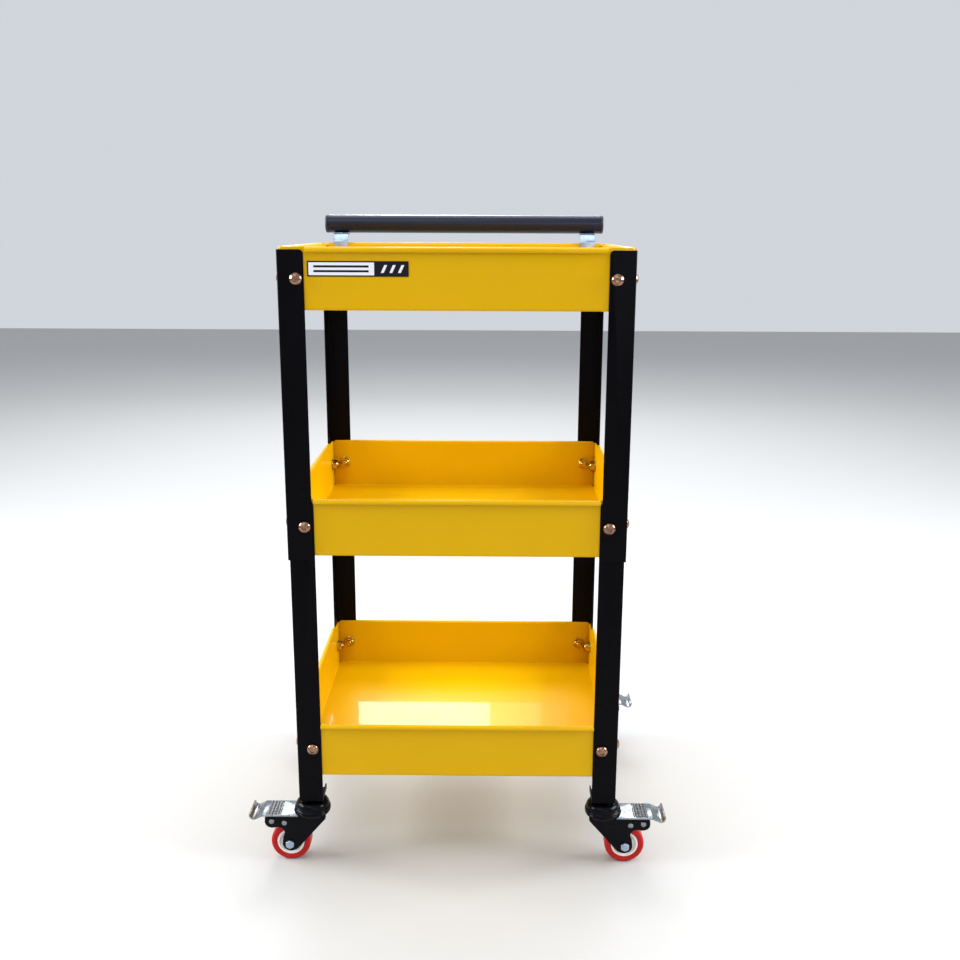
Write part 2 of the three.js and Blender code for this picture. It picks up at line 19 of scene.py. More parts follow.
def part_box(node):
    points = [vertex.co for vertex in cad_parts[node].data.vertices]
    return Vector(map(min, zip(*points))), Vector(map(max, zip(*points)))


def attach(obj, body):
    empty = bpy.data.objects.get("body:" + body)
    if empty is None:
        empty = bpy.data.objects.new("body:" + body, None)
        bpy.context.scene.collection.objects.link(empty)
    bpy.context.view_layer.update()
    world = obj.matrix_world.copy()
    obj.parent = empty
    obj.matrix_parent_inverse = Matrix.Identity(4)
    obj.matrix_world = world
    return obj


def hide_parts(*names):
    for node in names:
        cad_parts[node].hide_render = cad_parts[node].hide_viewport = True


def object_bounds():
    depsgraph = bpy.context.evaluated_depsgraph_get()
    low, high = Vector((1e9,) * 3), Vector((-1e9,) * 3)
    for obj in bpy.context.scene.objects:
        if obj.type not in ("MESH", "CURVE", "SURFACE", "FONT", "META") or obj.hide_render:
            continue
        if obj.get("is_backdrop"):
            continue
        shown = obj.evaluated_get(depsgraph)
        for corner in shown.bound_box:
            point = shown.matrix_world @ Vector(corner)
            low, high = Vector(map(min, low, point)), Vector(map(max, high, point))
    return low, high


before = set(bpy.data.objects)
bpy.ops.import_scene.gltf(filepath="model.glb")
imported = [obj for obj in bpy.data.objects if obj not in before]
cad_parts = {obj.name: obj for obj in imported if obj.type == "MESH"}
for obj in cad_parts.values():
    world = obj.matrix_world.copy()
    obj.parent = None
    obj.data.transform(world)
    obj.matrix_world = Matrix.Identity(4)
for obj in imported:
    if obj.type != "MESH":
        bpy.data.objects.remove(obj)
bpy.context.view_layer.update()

LOG = logging.getLogger("trolley")
MM = 0.001
NEAR = 2e-6

Point = tuple[float, float, float]
Where = Union[float, tuple[float, float]]


class Kind(Enum):
    """What edit mode selects."""

    VERT = "verts"
    EDGE = "edges"
    FACE = "faces"


class Side(Enum):
    """The two sides of the trolley, seen from the front."""

    LEFT = -1
    RIGHT = 1


class Corner(Enum):
    """The four corners of the trolley: the sign of X and of Y."""

    FRONT_LEFT = (-1, -1)
    FRONT_RIGHT = (1, -1)
    REAR_LEFT = (-1, 1)
    REAR_RIGHT = (1, 1)

    @property
    def label(self) -> str:
        """The corner's name in node and body names."""
        return self.name.lower()


class Tier(Enum):
    """The three trays."""

    TOP = "top"
    MIDDLE = "middle"
    BOTTOM = "bottom"


# ---- modelling by hand --------------------------------------------------------------------------------


class Work:
    """One piece being shaped: a primitive, edit-mode operators on picked elements, applied modifiers."""

    def __init__(self, name: str) -> None:
        """Takes the object that a primitive operator has just added.

        Args:
            name: the piece's name.
        """
        self.piece: bpy.types.Object = bpy.context.view_layer.objects.active
        self.piece.name = name
        self.piece.data.name = name

    @staticmethod
    def clear() -> None:
        """Leaves edit mode and deselects everything."""
        active = bpy.context.view_layer.objects.active
        if active is not None and active.mode != "OBJECT":
            bpy.ops.object.mode_set(mode="OBJECT")
        bpy.ops.object.select_all(action="DESELECT")

    @classmethod
    def block(cls, name: str, low: Point, high: Point) -> "Work":
        """A box between two corners.

        Args:
            name: the piece's name.
            low: its lowest corner.
            high: its highest corner.

        Returns:
            The box, ready to be shaped.
        """
        cls.clear()
        centre = [(a + b) / 2 for a, b in zip(low, high)]
        bpy.ops.mesh.primitive_cube_add(size=1, location=centre)
        bpy.context.object.scale = [b - a for a, b in zip(low, high)]
        bpy.ops.object.transform_apply(location=True, rotation=True, scale=True)
        return cls(name)

    @classmethod
    def sheet(cls, name: str, size_x: float, size_y: float, height: float) -> "Work":
        """A level sheet centred on the Z axis.

        Args:
            name: the piece's name.
            size_x: its size along X.
            size_y: its size along Y.
            height: its place along Z.

        Returns:
            The sheet, ready to be shaped.
        """
        cls.clear()
        bpy.ops.mesh.primitive_plane_add(size=1, location=(0, 0, height))
        bpy.context.object.scale = (size_x, size_y, 1)
        bpy.ops.object.transform_apply(location=True, rotation=True, scale=True)
        return cls(name)

    @classmethod
    def turned(cls, name: str, rings: Sequence[tuple[float, float]], sides: int = 48,
               closed: bool = False) -> "Work":
        """A body of revolution about Z, grown ring by ring from a circle.

        Args:
            name: the piece's name.
            rings: each ring's radius and height, in millimetres.
            sides: how many sides the circle has.
            closed: whether the last ring joins the first; otherwise both ends are capped.

        Returns:
            The turned body, ready to be shaped.
        """
        cls.clear()
        radius, height = rings[0]
        bpy.ops.mesh.primitive_circle_add(vertices=sides, radius=radius * MM, location=(0, 0, height * MM),
                                          fill_type="NOTHING")
        bpy.ops.object.transform_apply(location=True, rotation=True, scale=True)
        work = cls(name)
        work._enter(Kind.EDGE)
        bpy.ops.mesh.select_all(action="SELECT")
        loop = list(rings[1:]) + ([rings[0]] if closed else [])
        if not closed:
            bpy.ops.mesh.edge_face_add()
            bpy.ops.mesh.select_all(action="SELECT")
        for next_radius, next_height in loop:
            bpy.ops.mesh.extrude_region_move(
                TRANSFORM_OT_translate={"value": (0, 0, (next_height - height) * MM)})
            share = next_radius / radius
            bpy.ops.transform.resize(value=(share, share, 1), center_override=(0, 0, next_height * MM))
            radius, height = next_radius, next_height
        if closed:
            bpy.ops.mesh.select_all(action="SELECT")
            bpy.ops.mesh.remove_doubles(threshold=NEAR)
        return work.outward()

    @classmethod
    def plate(cls, name: str, corners: Sequence[tuple[float, float, float]], low: float, high: float,
              steps: int = 6) -> "Work":
        """A flat plate in the XZ plane whose corners are rounded, each by its own radius.

        Args:
            name: the piece's name.
            corners: each corner's x, z and rounding radius, in millimetres.
            low: the plate's lower y, in millimetres.
            high: its higher y, in millimetres.
            steps: how many segments round a corner.

        Returns:
            The plate, ready to be shaped.
        """
        cls.clear()
        bpy.ops.mesh.primitive_circle_add(vertices=len(corners), radius=10 * MM, fill_type="NGON",
                                          rotation=(math.pi / 2, 0, 0), location=(0, low * MM, 0))
        bpy.ops.object.transform_apply(location=True, rotation=True, scale=True)
        work = cls(name)
        starts = [vertex.co.copy() for vertex in work.piece.data.vertices]
        for index, (x, z, _) in enumerate(corners):
            work._pick_index(index)
            move = Vector((x * MM, low * MM, z * MM)) - starts[index]
            bpy.ops.transform.translate(value=move)
        for x, z, radius in corners:
            if radius > 0:
                work.pick(Kind.VERT, x=x * MM, z=z * MM)
                bpy.ops.mesh.bevel(affect="VERTICES", offset=cls._setback(corners, x, z) * MM,
                                   segments=steps, profile=0.5)
        work.pick(Kind.FACE)
        bpy.ops.mesh.extrude_region_move(TRANSFORM_OT_translate={"value": (0, (high - low) * MM, 0)})
        return work.outward()

    @staticmethod
    def _setback(corners: Sequence[tuple[float, float, float]], x: float, z: float) -> float:
        """How far from a corner its rounding starts, along both of its edges.

        Args:
            corners: the plate's corners, as for plate.
            x: the corner's x.
            z: the corner's z.

        Returns:
            The distance, in millimetres.
        """
        index = next(i for i, corner in enumerate(corners) if corner[0] == x and corner[1] == z)
        here = Vector((x, z))
        before = (Vector(corners[index - 1][:2]) - here).normalized()
        after = (Vector(corners[(index + 1) % len(corners)][:2]) - here).normalized()
        return corners[index][2] / math.tan(before.angle(after) / 2)

    def _pick_index(self, index: int) -> None:
        """Selects one vertex by its number."""
        self._enter(Kind.VERT)
        shape = bmesh.from_edit_mesh(self.piece.data)
        for vertex in shape.verts:
            vertex.select_set(False)
        shape.verts.ensure_lookup_table()
        shape.verts[index].select_set(True)
        shape.select_flush_mode()
        bmesh.update_edit_mesh(self.piece.data)

    def _enter(self, kind: Kind) -> None:
        """Puts the piece, and nothing else, in edit mode."""
        if self.piece.mode != "EDIT":
            self.clear()
            self.piece.select_set(True)
            bpy.context.view_layer.objects.active = self.piece
            bpy.ops.object.mode_set(mode="EDIT")
        bpy.ops.mesh.select_mode(type=kind.name)

    def _leave(self) -> None:
        """Puts the piece back in object mode, selected alone."""
        self.clear()
        self.piece.select_set(True)
        bpy.context.view_layer.objects.active = self.piece

    def pick(self, kind: Kind, facing: Optional[Point] = None, **where: Where) -> "Work":
        """Selects the elements that lie wholly at the given places.

        Args:
            kind: what to select.
            facing: for faces, the direction that they face.
            **where: for x, y or z, a value or a lowest and highest value, in metres.

        Returns:
            This work, so that calls chain.
        """
        self._enter(kind)
        shape = bmesh.from_edit_mesh(self.piece.data)
        ranges = {axis: at if isinstance(at, tuple) else (at, at) for axis, at in where.items()}
        for element in (*shape.faces, *shape.edges, *shape.verts):
            element.select_set(False)
        for element in getattr(shape, kind.value):
            points = [element] if kind is Kind.VERT else element.verts
            inside = all(low - NEAR <= getattr(point.co, axis) <= high + NEAR
                         for point in points for axis, (low, high) in ranges.items())
            if inside and facing is not None:
                inside = element.normal.dot(Vector(facing)) > 0.99
            if inside:
                element.select_set(True)
        shape.select_flush_mode()
        bmesh.update_edit_mesh(self.piece.data)
        return self

    def extrude(self, x: float = 0, y: float = 0, z: float = 0) -> "Work":
        """Extrudes the selection by a distance in metres."""
        bpy.ops.mesh.extrude_region_move(TRANSFORM_OT_translate={"value": (x, y, z)})
        return self

    def move(self, x: float = 0, y: float = 0, z: float = 0) -> "Work":
        """Moves the selection by a distance in metres."""
        bpy.ops.transform.translate(value=(x, y, z))
        return self

    def round_edges(self, radius: float, steps: int = 4) -> "Work":
        """Bevels the selected edges into a round of this radius."""
        bpy.ops.mesh.bevel(affect="EDGES", offset=radius, segments=steps, profile=0.5)
        return self

    def round_vertices(self, radius: float, steps: int = 4) -> "Work":
        """Bevels the selected corners of a sheet into a round of this radius."""
        bpy.ops.mesh.bevel(affect="VERTICES", offset=radius, segments=steps, profile=0.5)
        return self

    def bend(self, angle: float, centre: Point, axis: Point, steps: int = 5) -> "Work":
        """Sweeps the selection round an axis, as a sheet is folded.

        Args:
            angle: how far, in radians, by the right-hand rule about the axis.
            centre: a point on the axis.
            axis: the axis's direction.
            steps: how many segments the bend has.

        Returns:
            This work.
        """
        bpy.ops.mesh.spin(steps=steps, angle=-angle, center=centre, axis=axis)
        return self

    def bisect(self, at: Point, normal: Point) -> "Work":
        """Cuts an edge line through the whole mesh, along a plane."""
        self._enter(Kind.VERT)
        bpy.ops.mesh.select_all(action="SELECT")
        bpy.ops.mesh.bisect(plane_co=at, plane_no=normal)
        return self

    def outward(self) -> "Work":
        """Turns every face of a closed shape outwards."""
        self._enter(Kind.VERT)
        bpy.ops.mesh.select_all(action="SELECT")
        bpy.ops.mesh.normals_make_consistent(inside=False)
        return self

    def modify(self, kind: str, **settings: Any) -> "Work":
        """Adds a modifier and applies it.

        Args:
            kind: the modifier's type.
            **settings: its settings.

        Returns:
            This work.
        """
        self._leave()
        modifier = self.piece.modifiers.new(kind.title(), kind)
        for key, value in settings.items():
            setattr(modifier, key, value)
        bpy.ops.object.modifier_apply(modifier=modifier.name)
        return self

    def ease_edges(self, radius: float, steps: int = 2) -> "Work":
        """Takes the sharpness off every edge, as pressing, moulding or paint does."""
        return self.modify("BEVEL", width=radius, segments=steps, limit_method="ANGLE",
                           angle_limit=math.radians(35), harden_normals=False)

    def thicken(self, thickness: float, offset: float) -> "Work":
        """Gives a sheet its thickness. Offset -1 is behind the faces and 1 in front of them."""
        return self.modify("SOLIDIFY", thickness=thickness, offset=offset, use_even_offset=True)

    def combine(self, other: "Work", operation: str) -> "Work":
        """Joins, cuts or intersects this piece with another closed one, which is used up."""
        other._leave()
        self.modify("BOOLEAN", operation=operation, object=other.piece, solver="EXACT")
        bpy.data.objects.remove(other.piece)
        return self

    def cut(self, *tools: "Work") -> "Work":
        """Cuts closed tools out of this piece."""
        for tool in tools:
            self.combine(tool, "DIFFERENCE")
        return self

    def fuse(self, *others: "Work") -> "Work":
        """Welds closed pieces onto this one."""
        for other in others:
            self.combine(other, "UNION")
        return self

    def gather(self, *others: "Work") -> "Work":
        """Takes other pieces into this one's mesh as they are."""
        for other in others:
            other._leave()
        self._leave()
        for other in others:
            other.piece.select_set(True)
        bpy.ops.object.join()
        return self

    def place(self, matrix: Matrix) -> "Work":
        """Moves the piece and applies its place to its mesh.

        Args:
            matrix: where the piece goes. One that mirrors has the faces turned out again.

        Returns:
            This work.
        """
        self._leave()
        self.piece.matrix_world = matrix @ self.piece.matrix_world
        bpy.ops.object.transform_apply(location=True, rotation=True, scale=True)
        if matrix.to_3x3().determinant() < 0:
            self.outward()
            self._leave()
        return self

    def copy(self, name: str) -> "Work":
        """A copy with its own mesh."""
        self._leave()
        twin = Work.__new__(Work)
        twin.piece = self.piece.copy()
        twin.piece.data = self.piece.data.copy()
        twin.piece.name = name
        twin.piece.data.name = name
        bpy.context.collection.objects.link(twin.piece)
        return twin

    def discard(self) -> None:
        """Removes a master that has been copied."""
        self.clear()
        bpy.data.objects.remove(self.piece)

    def finish(self, finish: "Finish", body: str, replaces: Sequence[str] = (),
               smooth: float = 32) -> bpy.types.Object:
        """Shades and dresses the piece, and hands it to the frame.

        Args:
            finish: what its surface is made of.
            body: the CAD body that it moves with.
            replaces: the CAD nodes that it stands for.
            smooth: faces that meet below this angle, in degrees, are shaded as one surface.

        Returns:
            The finished piece.
        """
        self._leave()
        bpy.ops.object.shade_smooth_by_angle(angle=math.radians(smooth))
        self.piece.data.materials.clear()
        self.piece.data.materials.append(finish.material())
        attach(self.piece, body)
        if replaces:
            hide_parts(*replaces)
        LOG.info("%s rides on %s in %s", self.piece.name, body, finish.name)
        return self.piece


def moved(x: float = 0, y: float = 0, z: float = 0, turn: float = 0, tilt: float = 0) -> Matrix:
    """A place: tilted about X, turned about Z, then moved.

    Args:
        x: the move along X, in metres.
        y: the move along Y.
        z: the move along Z.
        turn: the turn about Z, in radians.
        tilt: the turn about X before it, in radians.

    Returns:
        The matrix.
    """
    return Matrix.Translation((x, y, z)) @ Matrix.Rotation(turn, 4, "Z") @ Matrix.Rotation(tilt, 4, "X")


def mirrored(sign_x: int, sign_y: int) -> Matrix:
    """A mirror across the middle planes: -1 mirrors and 1 leaves as it is."""
    return Matrix.Diagonal((sign_x, sign_y, 1, 1))


def hexagon(name: str, flats: float, low: float, high: float,
            rounder: Sequence[tuple[float, float]]) -> Work:
    """A hexagonal prism about Z whose corners are turned off.

    Args:
        name: the piece's name.
        flats: its size across the flats, in millimetres.
        low: its lower height, in millimetres.
        high: its upper height.
        rounder: the rings of the turning tool: how far past the corners, and the height.

    Returns:
        The prism.
    """
    corner = flats / math.sqrt(3)
    prism = Work.turned(name, [(corner, low), (corner, high)], 6)
    tool = Work.turned(name + "_round", [(corner + past, height) for past, height in rounder], 32)
    return prism.combine(tool, "INTERSECT")


# ---- finishes -----------------------------------------------------------------------------------------


def linear(hex_colour: str) -> tuple[float, float, float, float]:
    """Turns an sRGB hex colour into linear light.

    Args:
        hex_colour: six hex digits.

    Returns:
        Red, green, blue and alpha.
    """
    shares = [int(hex_colour[i:i + 2], 16) / 255 for i in (0, 2, 4)]
    return tuple(s / 12.92 if s <= 0.04045 else ((s + 0.055) / 1.055) ** 2.4 for s in shares) + (1.0,)


def per_mm(size_mm: float) -> float:
    """The scale of a pattern whose patches are about this size."""
    return 1 / (size_mm * MM)


def add_node(tree: bpy.types.NodeTree, kind: str, settings: Optional[dict[str, Any]] = None,
             inputs: Optional[dict[Any, Any]] = None) -> bpy.types.Node:
    """Adds a node, sets it and links it.

    Args:
        tree: the tree that it goes into.
        kind: the node's type.
        settings: the node's own properties.
        inputs: for each input's name or number, a value or another node's output.

    Returns:
        The node.
    """
    node = tree.nodes.new(kind)
    for key, value in (settings or {}).items():
        setattr(node, key, value)
    for key, value in (inputs or {}).items():
        if isinstance(value, bpy.types.NodeSocket):
            tree.links.new(value, node.inputs[key])
        else:
            node.inputs[key].default_value = value
    return node


@dataclass(frozen=True)
class Finish:
    """A surface: its colour, gloss and the marks that making and use leave on it.

    The grain is a bump from how the surface was made. The smudge is a slow change of roughness, as
    fingers and cleaning leave. The shade is a slow change of colour.
    """

    name: str
    slot: str
    colour: str
    deep_colour: str
    roughness: float
    roughness_swing: float = 0.08
    metallic: float = 0.0
    ior: float = 1.5
    specular: float = 0.5
    coat: float = 0.0
    coat_roughness: float = 0.05
    grain_mm: float = 1.6
    grain_depth_mm: float = 0.01
    smudge_mm: float = 45.0
    shade_mm: float = 120.0
    stretch: Point = (1.0, 1.0, 1.0)
    detail: float = 2.0

    def material(self) -> bpy.types.Material:
        """The finish as a material, made once.

        Returns:
            The material.
        """
        made = bpy.data.materials.get(self.name)
        return made if made is not None else self._make()

    def _make(self) -> bpy.types.Material:
        """Builds the material's nodes.

        Returns:
            The new material.
        """
        material = bpy.data.materials.new(self.name)
        material.use_nodes = True
        tree = material.node_tree
        shader = tree.nodes["Principled BSDF"]
        place = add_node(tree, "ShaderNodeTexCoord").outputs["Object"]
        laid = add_node(tree, "ShaderNodeMapping", inputs={"Vector": place, "Scale": self.stretch})
        across = laid.outputs["Vector"]
        shade = add_node(tree, "ShaderNodeTexNoise", inputs={
            "Vector": across, "Scale": per_mm(self.shade_mm), "Detail": 3.0}).outputs["Fac"]
        tint = add_node(tree, "ShaderNodeMixRGB", inputs={
            "Fac": shade, "Color1": linear(self.deep_colour), "Color2": linear(self.colour)})
        tree.links.new(self.coloured(tree, place, tint.outputs["Color"]), shader.inputs["Base Color"])
        smudge = add_node(tree, "ShaderNodeTexNoise", inputs={
            "Vector": across, "Scale": per_mm(self.smudge_mm), "Detail": 4.0}).outputs["Fac"]
        rough = add_node(tree, "ShaderNodeMapRange", inputs={
            "Value": smudge, "From Min": 0.3, "From Max": 0.7,
            "To Min": max(0.02, self.roughness - self.roughness_swing),
            "To Max": self.roughness + self.roughness_swing})
        tree.links.new(rough.outputs["Result"], shader.inputs["Roughness"])
        bump = add_node(tree, "ShaderNodeBump", inputs={
            "Strength": 1.0, "Distance": self.grain_depth_mm * MM,
            "Height": self.relief(tree, across, place)})
        tree.links.new(bump.outputs["Normal"], shader.inputs["Normal"])
        shader.inputs["Metallic"].default_value = self.metallic
        shader.inputs["IOR"].default_value = self.ior
        shader.inputs["Specular IOR Level"].default_value = self.specular
        shader.inputs["Coat Weight"].default_value = self.coat
        shader.inputs["Coat Roughness"].default_value = self.coat_roughness
        return material

    def coloured(self, tree: bpy.types.NodeTree, place: bpy.types.NodeSocket,
                 base: bpy.types.NodeSocket) -> bpy.types.NodeSocket:
        """The colour over the whole surface. A finish with marks of its own adds them here.

        Args:
            tree: the material's tree.
            place: the Object coordinates.
            base: the plain colour.

        Returns:
            The finished colour.
        """
        return base

    def relief(self, tree: bpy.types.NodeTree, across: bpy.types.NodeSocket,
               place: bpy.types.NodeSocket) -> bpy.types.NodeSocket:
        """The height of the surface's grain.

        Args:
            tree: the material's tree.
            across: the coordinates with the finish's own stretch.
            place: the Object coordinates.

        Returns:
            The height.
        """
        return add_node(tree, "ShaderNodeTexNoise", inputs={
            "Vector": across, "Scale": per_mm(self.grain_mm), "Detail": self.detail}).outputs["Fac"]


@dataclass(frozen=True)
class DustyPaint(Finish):
    """Stoved powder coat with a little dust and a few fine rub marks lying in it."""

    dust_colour: str = "f4dc8c"
    dust_mm: float = 2.2
    dust_share: float = 0.16
    rub_length_mm: float = 28.0
    rub_width_mm: float = 0.7

    def coloured(self, tree: bpy.types.NodeTree, place: bpy.types.NodeSocket,
                 base: bpy.types.NodeSocket) -> bpy.types.NodeSocket:
        """Adds dust, thicker in some places than in others.

        Args:
            tree: the material's tree.
            place: the Object coordinates.
            base: the paint's colour.

        Returns:
            The dusty colour.
        """
        fine = add_node(tree, "ShaderNodeTexNoise", inputs={
            "Vector": place, "Scale": per_mm(self.dust_mm), "Detail": 2.0}).outputs["Fac"]
        drift = add_node(tree, "ShaderNodeTexNoise", inputs={
            "Vector": place, "Scale": per_mm(90.0), "Detail": 2.0}).outputs["Fac"]
        speck = add_node(tree, "ShaderNodeMapRange", inputs={
            "Value": fine, "From Min": 0.62, "From Max": 0.74, "To Min": 0.0, "To Max": self.dust_share})
        where = add_node(tree, "ShaderNodeMapRange", inputs={
            "Value": drift, "From Min": 0.42, "From Max": 0.68, "To Min": 0.0, "To Max": 1.0})
        amount = add_node(tree, "ShaderNodeMath", {"operation": "MULTIPLY"}, {
            0: speck.outputs["Result"], 1: where.outputs["Result"]})
        dusted = add_node(tree, "ShaderNodeMixRGB", inputs={
            "Fac": amount.outputs["Value"], "Color1": base, "Color2": linear(self.dust_colour)})
        return dusted.outputs["Color"]

    def relief(self, tree: bpy.types.NodeTree, across: bpy.types.NodeSocket,
               place: bpy.types.NodeSocket) -> bpy.types.NodeSocket:
        """Orange peel, with shallow rub marks along X.

        Args:
            tree: the material's tree.
            across: the coordinates with the finish's own stretch.
            place: the Object coordinates.

        Returns:
            The height.
        """
        peel = add_node(tree, "ShaderNodeTexNoise", inputs={
            "Vector": across, "Scale": per_mm(self.grain_mm), "Detail": self.detail}).outputs["Fac"]
        drawn = add_node(tree, "ShaderNodeMapping", inputs={
            "Vector": place, "Rotation": (0.0, 0.0, 0.35),
            "Scale": (self.rub_width_mm / self.rub_length_mm, 1.0, 1.0)})
        rub = add_node(tree, "ShaderNodeTexNoise", inputs={
            "Vector": drawn.outputs["Vector"], "Scale": per_mm(self.rub_width_mm), "Detail": 1.0})
        lines = add_node(tree, "ShaderNodeMapRange", inputs={
            "Value": rub.outputs["Fac"], "From Min": 0.7, "From Max": 0.78, "To Min": 0.0, "To Max": 0.12})
        height = add_node(tree, "ShaderNodeMath", {"operation": "SUBTRACT"}, {
            0: peel, 1: lines.outputs["Result"]})
        return height.outputs["Value"]


@dataclass(frozen=True)
class Plated(Finish):
    """Bright plating over pressed or headed steel, cloudy where the bath left it so. On the worn grip the
    dark patches are painted shade.
    """

    cloud_colour: str = "8f98a6"
    cloud_mm: float = 5.0

    def coloured(self, tree: bpy.types.NodeTree, place: bpy.types.NodeSocket,
                 base: bpy.types.NodeSocket) -> bpy.types.NodeSocket:
        """Adds the plating's cloudy patches, which on the worn grip are painted shade.

        Args:
            tree: the material's tree.
            place: the Object coordinates.
            base: the plate's colour.

        Returns:
            The cloudy colour.
        """
        cloud_and_shade_noise = add_node(tree, "ShaderNodeTexNoise", inputs={
            "Vector": place, "Scale": per_mm(self.cloud_mm), "Detail": 5.0}).outputs["Fac"]
        amount = add_node(tree, "ShaderNodeMapRange", inputs={
            "Value": cloud_and_shade_noise, "From Min": 0.45, "From Max": 0.75, "To Min": 0.0, "To Max": 0.55})
        mixed = add_node(tree, "ShaderNodeMixRGB", inputs={
            "Fac": amount.outputs["Result"], "Color1": base, "Color2": linear(self.cloud_colour)})
        return mixed.outputs["Color"]


# Gloss polyester powder coat, sprayed and stoved: a deep even yellow with orange peel under a hard shine.
YELLOW_COAT = DustyPaint(
    name="yellow_powder_coat", slot="tray_paint", colour="d9a900", deep_colour="d1a100",
    roughness=0.34, roughness_swing=0.05, specular=0.05, coat=0.18, coat_roughness=0.04,
    grain_mm=2.4, grain_depth_mm=0.006, detail=1.0)

# The same coat in black on the legs: near black, with a cool shine where it mirrors the room.
BLACK_COAT = DustyPaint(
    name="black_powder_coat", slot="leg_paint", colour="040308", deep_colour="030305",
    roughness=0.36, roughness_swing=0.07, specular=0.06, coat=0.0,
    grain_mm=1.3, grain_depth_mm=0.012, dust_colour="4a4640", dust_share=0.06)

# Satin black paint on the handle's tube, with a fine dry grain. Its navy tint is painted reflection of the
# blue sky on the black.
HANDLE_COAT = DustyPaint(
    name="satin_black_enamel", slot="handle_paint", colour="0a142c", deep_colour="070d1e",
    roughness=0.32, roughness_swing=0.06, specular=0.32, coat=0.1, coat_roughness=0.2,
    grain_mm=0.9, grain_depth_mm=0.02, dust_colour="5a6068", dust_share=0.10)

# Black electro-dipped steel on the casters: thin, slick and glossy over the pressings. Its faint blue is
# painted reflection of the sky.
DIPPED_BLACK = DustyPaint(
    name="black_electrocoat", slot="caster_black", colour="04050b", deep_colour="030307",
    roughness=0.18, roughness_swing=0.05, specular=0.1, coat=0.0,
    grain_mm=1.8, grain_depth_mm=0.006, dust_colour="4a4640", dust_share=0.1)

# Injection-moulded polyethylene end caps: black with a dull, slightly uneven skin.
CAP_PLASTIC = Finish(
    name="black_moulded_polyethylene", slot="cap_plastic", colour="17181c", deep_colour="101115",
    roughness=0.48, roughness_swing=0.06, ior=1.51, grain_mm=0.8, grain_depth_mm=0.02)

# Bright blue zinc plate on the brackets, screws and nuts: pale, cool and cloudy.
BLUE_ZINC = Plated(
    name="blue_zinc_plate", slot="zinc_plate", colour="b6c6dc", deep_colour="a2b2c9",
    roughness=0.34, roughness_swing=0.08, metallic=1.0, grain_mm=1.1, grain_depth_mm=0.015)

# Bright plate on the pressed pedals, with faint lines from the strip's rolling.
PEDAL_ZINC = Plated(
    name="bright_zinc_pressing", slot="pedal_zinc", colour="a4a9ae", deep_colour="7d8389",
    roughness=0.24, roughness_swing=0.1, metallic=1.0, grain_mm=1.0, grain_depth_mm=0.02,
    stretch=(0.15, 1.0, 1.0), cloud_colour="3c4046", cloud_mm=7.0)

# The same plate where shoes press on it, dulled. Its darker tone and the near-black patches spread over it
# are painted shade.
WORN_ZINC_AND_PAINTED_SHADE = Plated(
    name="worn_zinc_grip", slot="pedal_zinc", colour="8d9298", deep_colour="5f646a",
    roughness=0.3, roughness_swing=0.1, metallic=1.0, grain_mm=0.8, grain_depth_mm=0.02,
    cloud_colour="17181b", cloud_mm=2.4)

# Yellow-passivated bolt heads. Their pinkish bronze is painted reflection of the warm yellow trays around
# them.
BRONZE_PAINTED_REFLECTION = Plated(
    name="bronze_passivated_steel", slot="bronzed_bolt", colour="ae8a74", deep_colour="7f604a",
    roughness=0.2, roughness_swing=0.07, metallic=1.0, grain_mm=0.7, grain_depth_mm=0.015,
    cloud_colour="3a291c", cloud_mm=2.6)

# Yellow-passivated nuts, a dark brassy gold.
BRASSY = Plated(
    name="brassy_passivated_steel", slot="bronzed_bolt", colour="d6b860", deep_colour="b4923e",
    roughness=0.22, roughness_swing=0.06, metallic=1.0, grain_mm=0.7, grain_depth_mm=0.01,
    cloud_colour="85682c", cloud_mm=2.5)

# Cast polyurethane tread: saturated red, a little waxy, softly shiny.
RED_URETHANE = DustyPaint(
    name="red_cast_polyurethane", slot="tyre_red", colour="c02420", deep_colour="a51a17",
    roughness=0.34, roughness_swing=0.07, specular=0.16, coat=0.0,
    grain_mm=0.9, grain_depth_mm=0.015, dust_colour="a5605a", dust_share=0.2)

# Moulded nylon wheel core: off-white, with a faint pink that is painted light bounced from the red tyre
# beside it.
PALE_NYLON = Finish(
    name="natural_moulded_nylon", slot="hub_plastic", colour="f4ebe6", deep_colour="eaded8",
    roughness=0.42, roughness_swing=0.06, ior=1.53, grain_mm=0.7, grain_depth_mm=0.01)

# Printed polyester film, pale part.
LABEL_PALE = Finish(
    name="pale_printed_film", slot="label_film", colour="e9ebf2", deep_colour="e0e3ec",
    roughness=0.3, roughness_swing=0.04, ior=1.58, grain_mm=3.0, grain_depth_mm=0.002)

# Printed polyester film, dark part.
LABEL_DARK = Finish(
    name="dark_printed_film", slot="label_film", colour="16141a", deep_colour="100e13",
    roughness=0.28, roughness_swing=0.04, ior=1.58, specular=0.15, grain_mm=3.0, grain_depth_mm=0.002)


# ---- legs ---------------------------------------------------------------------------------------------


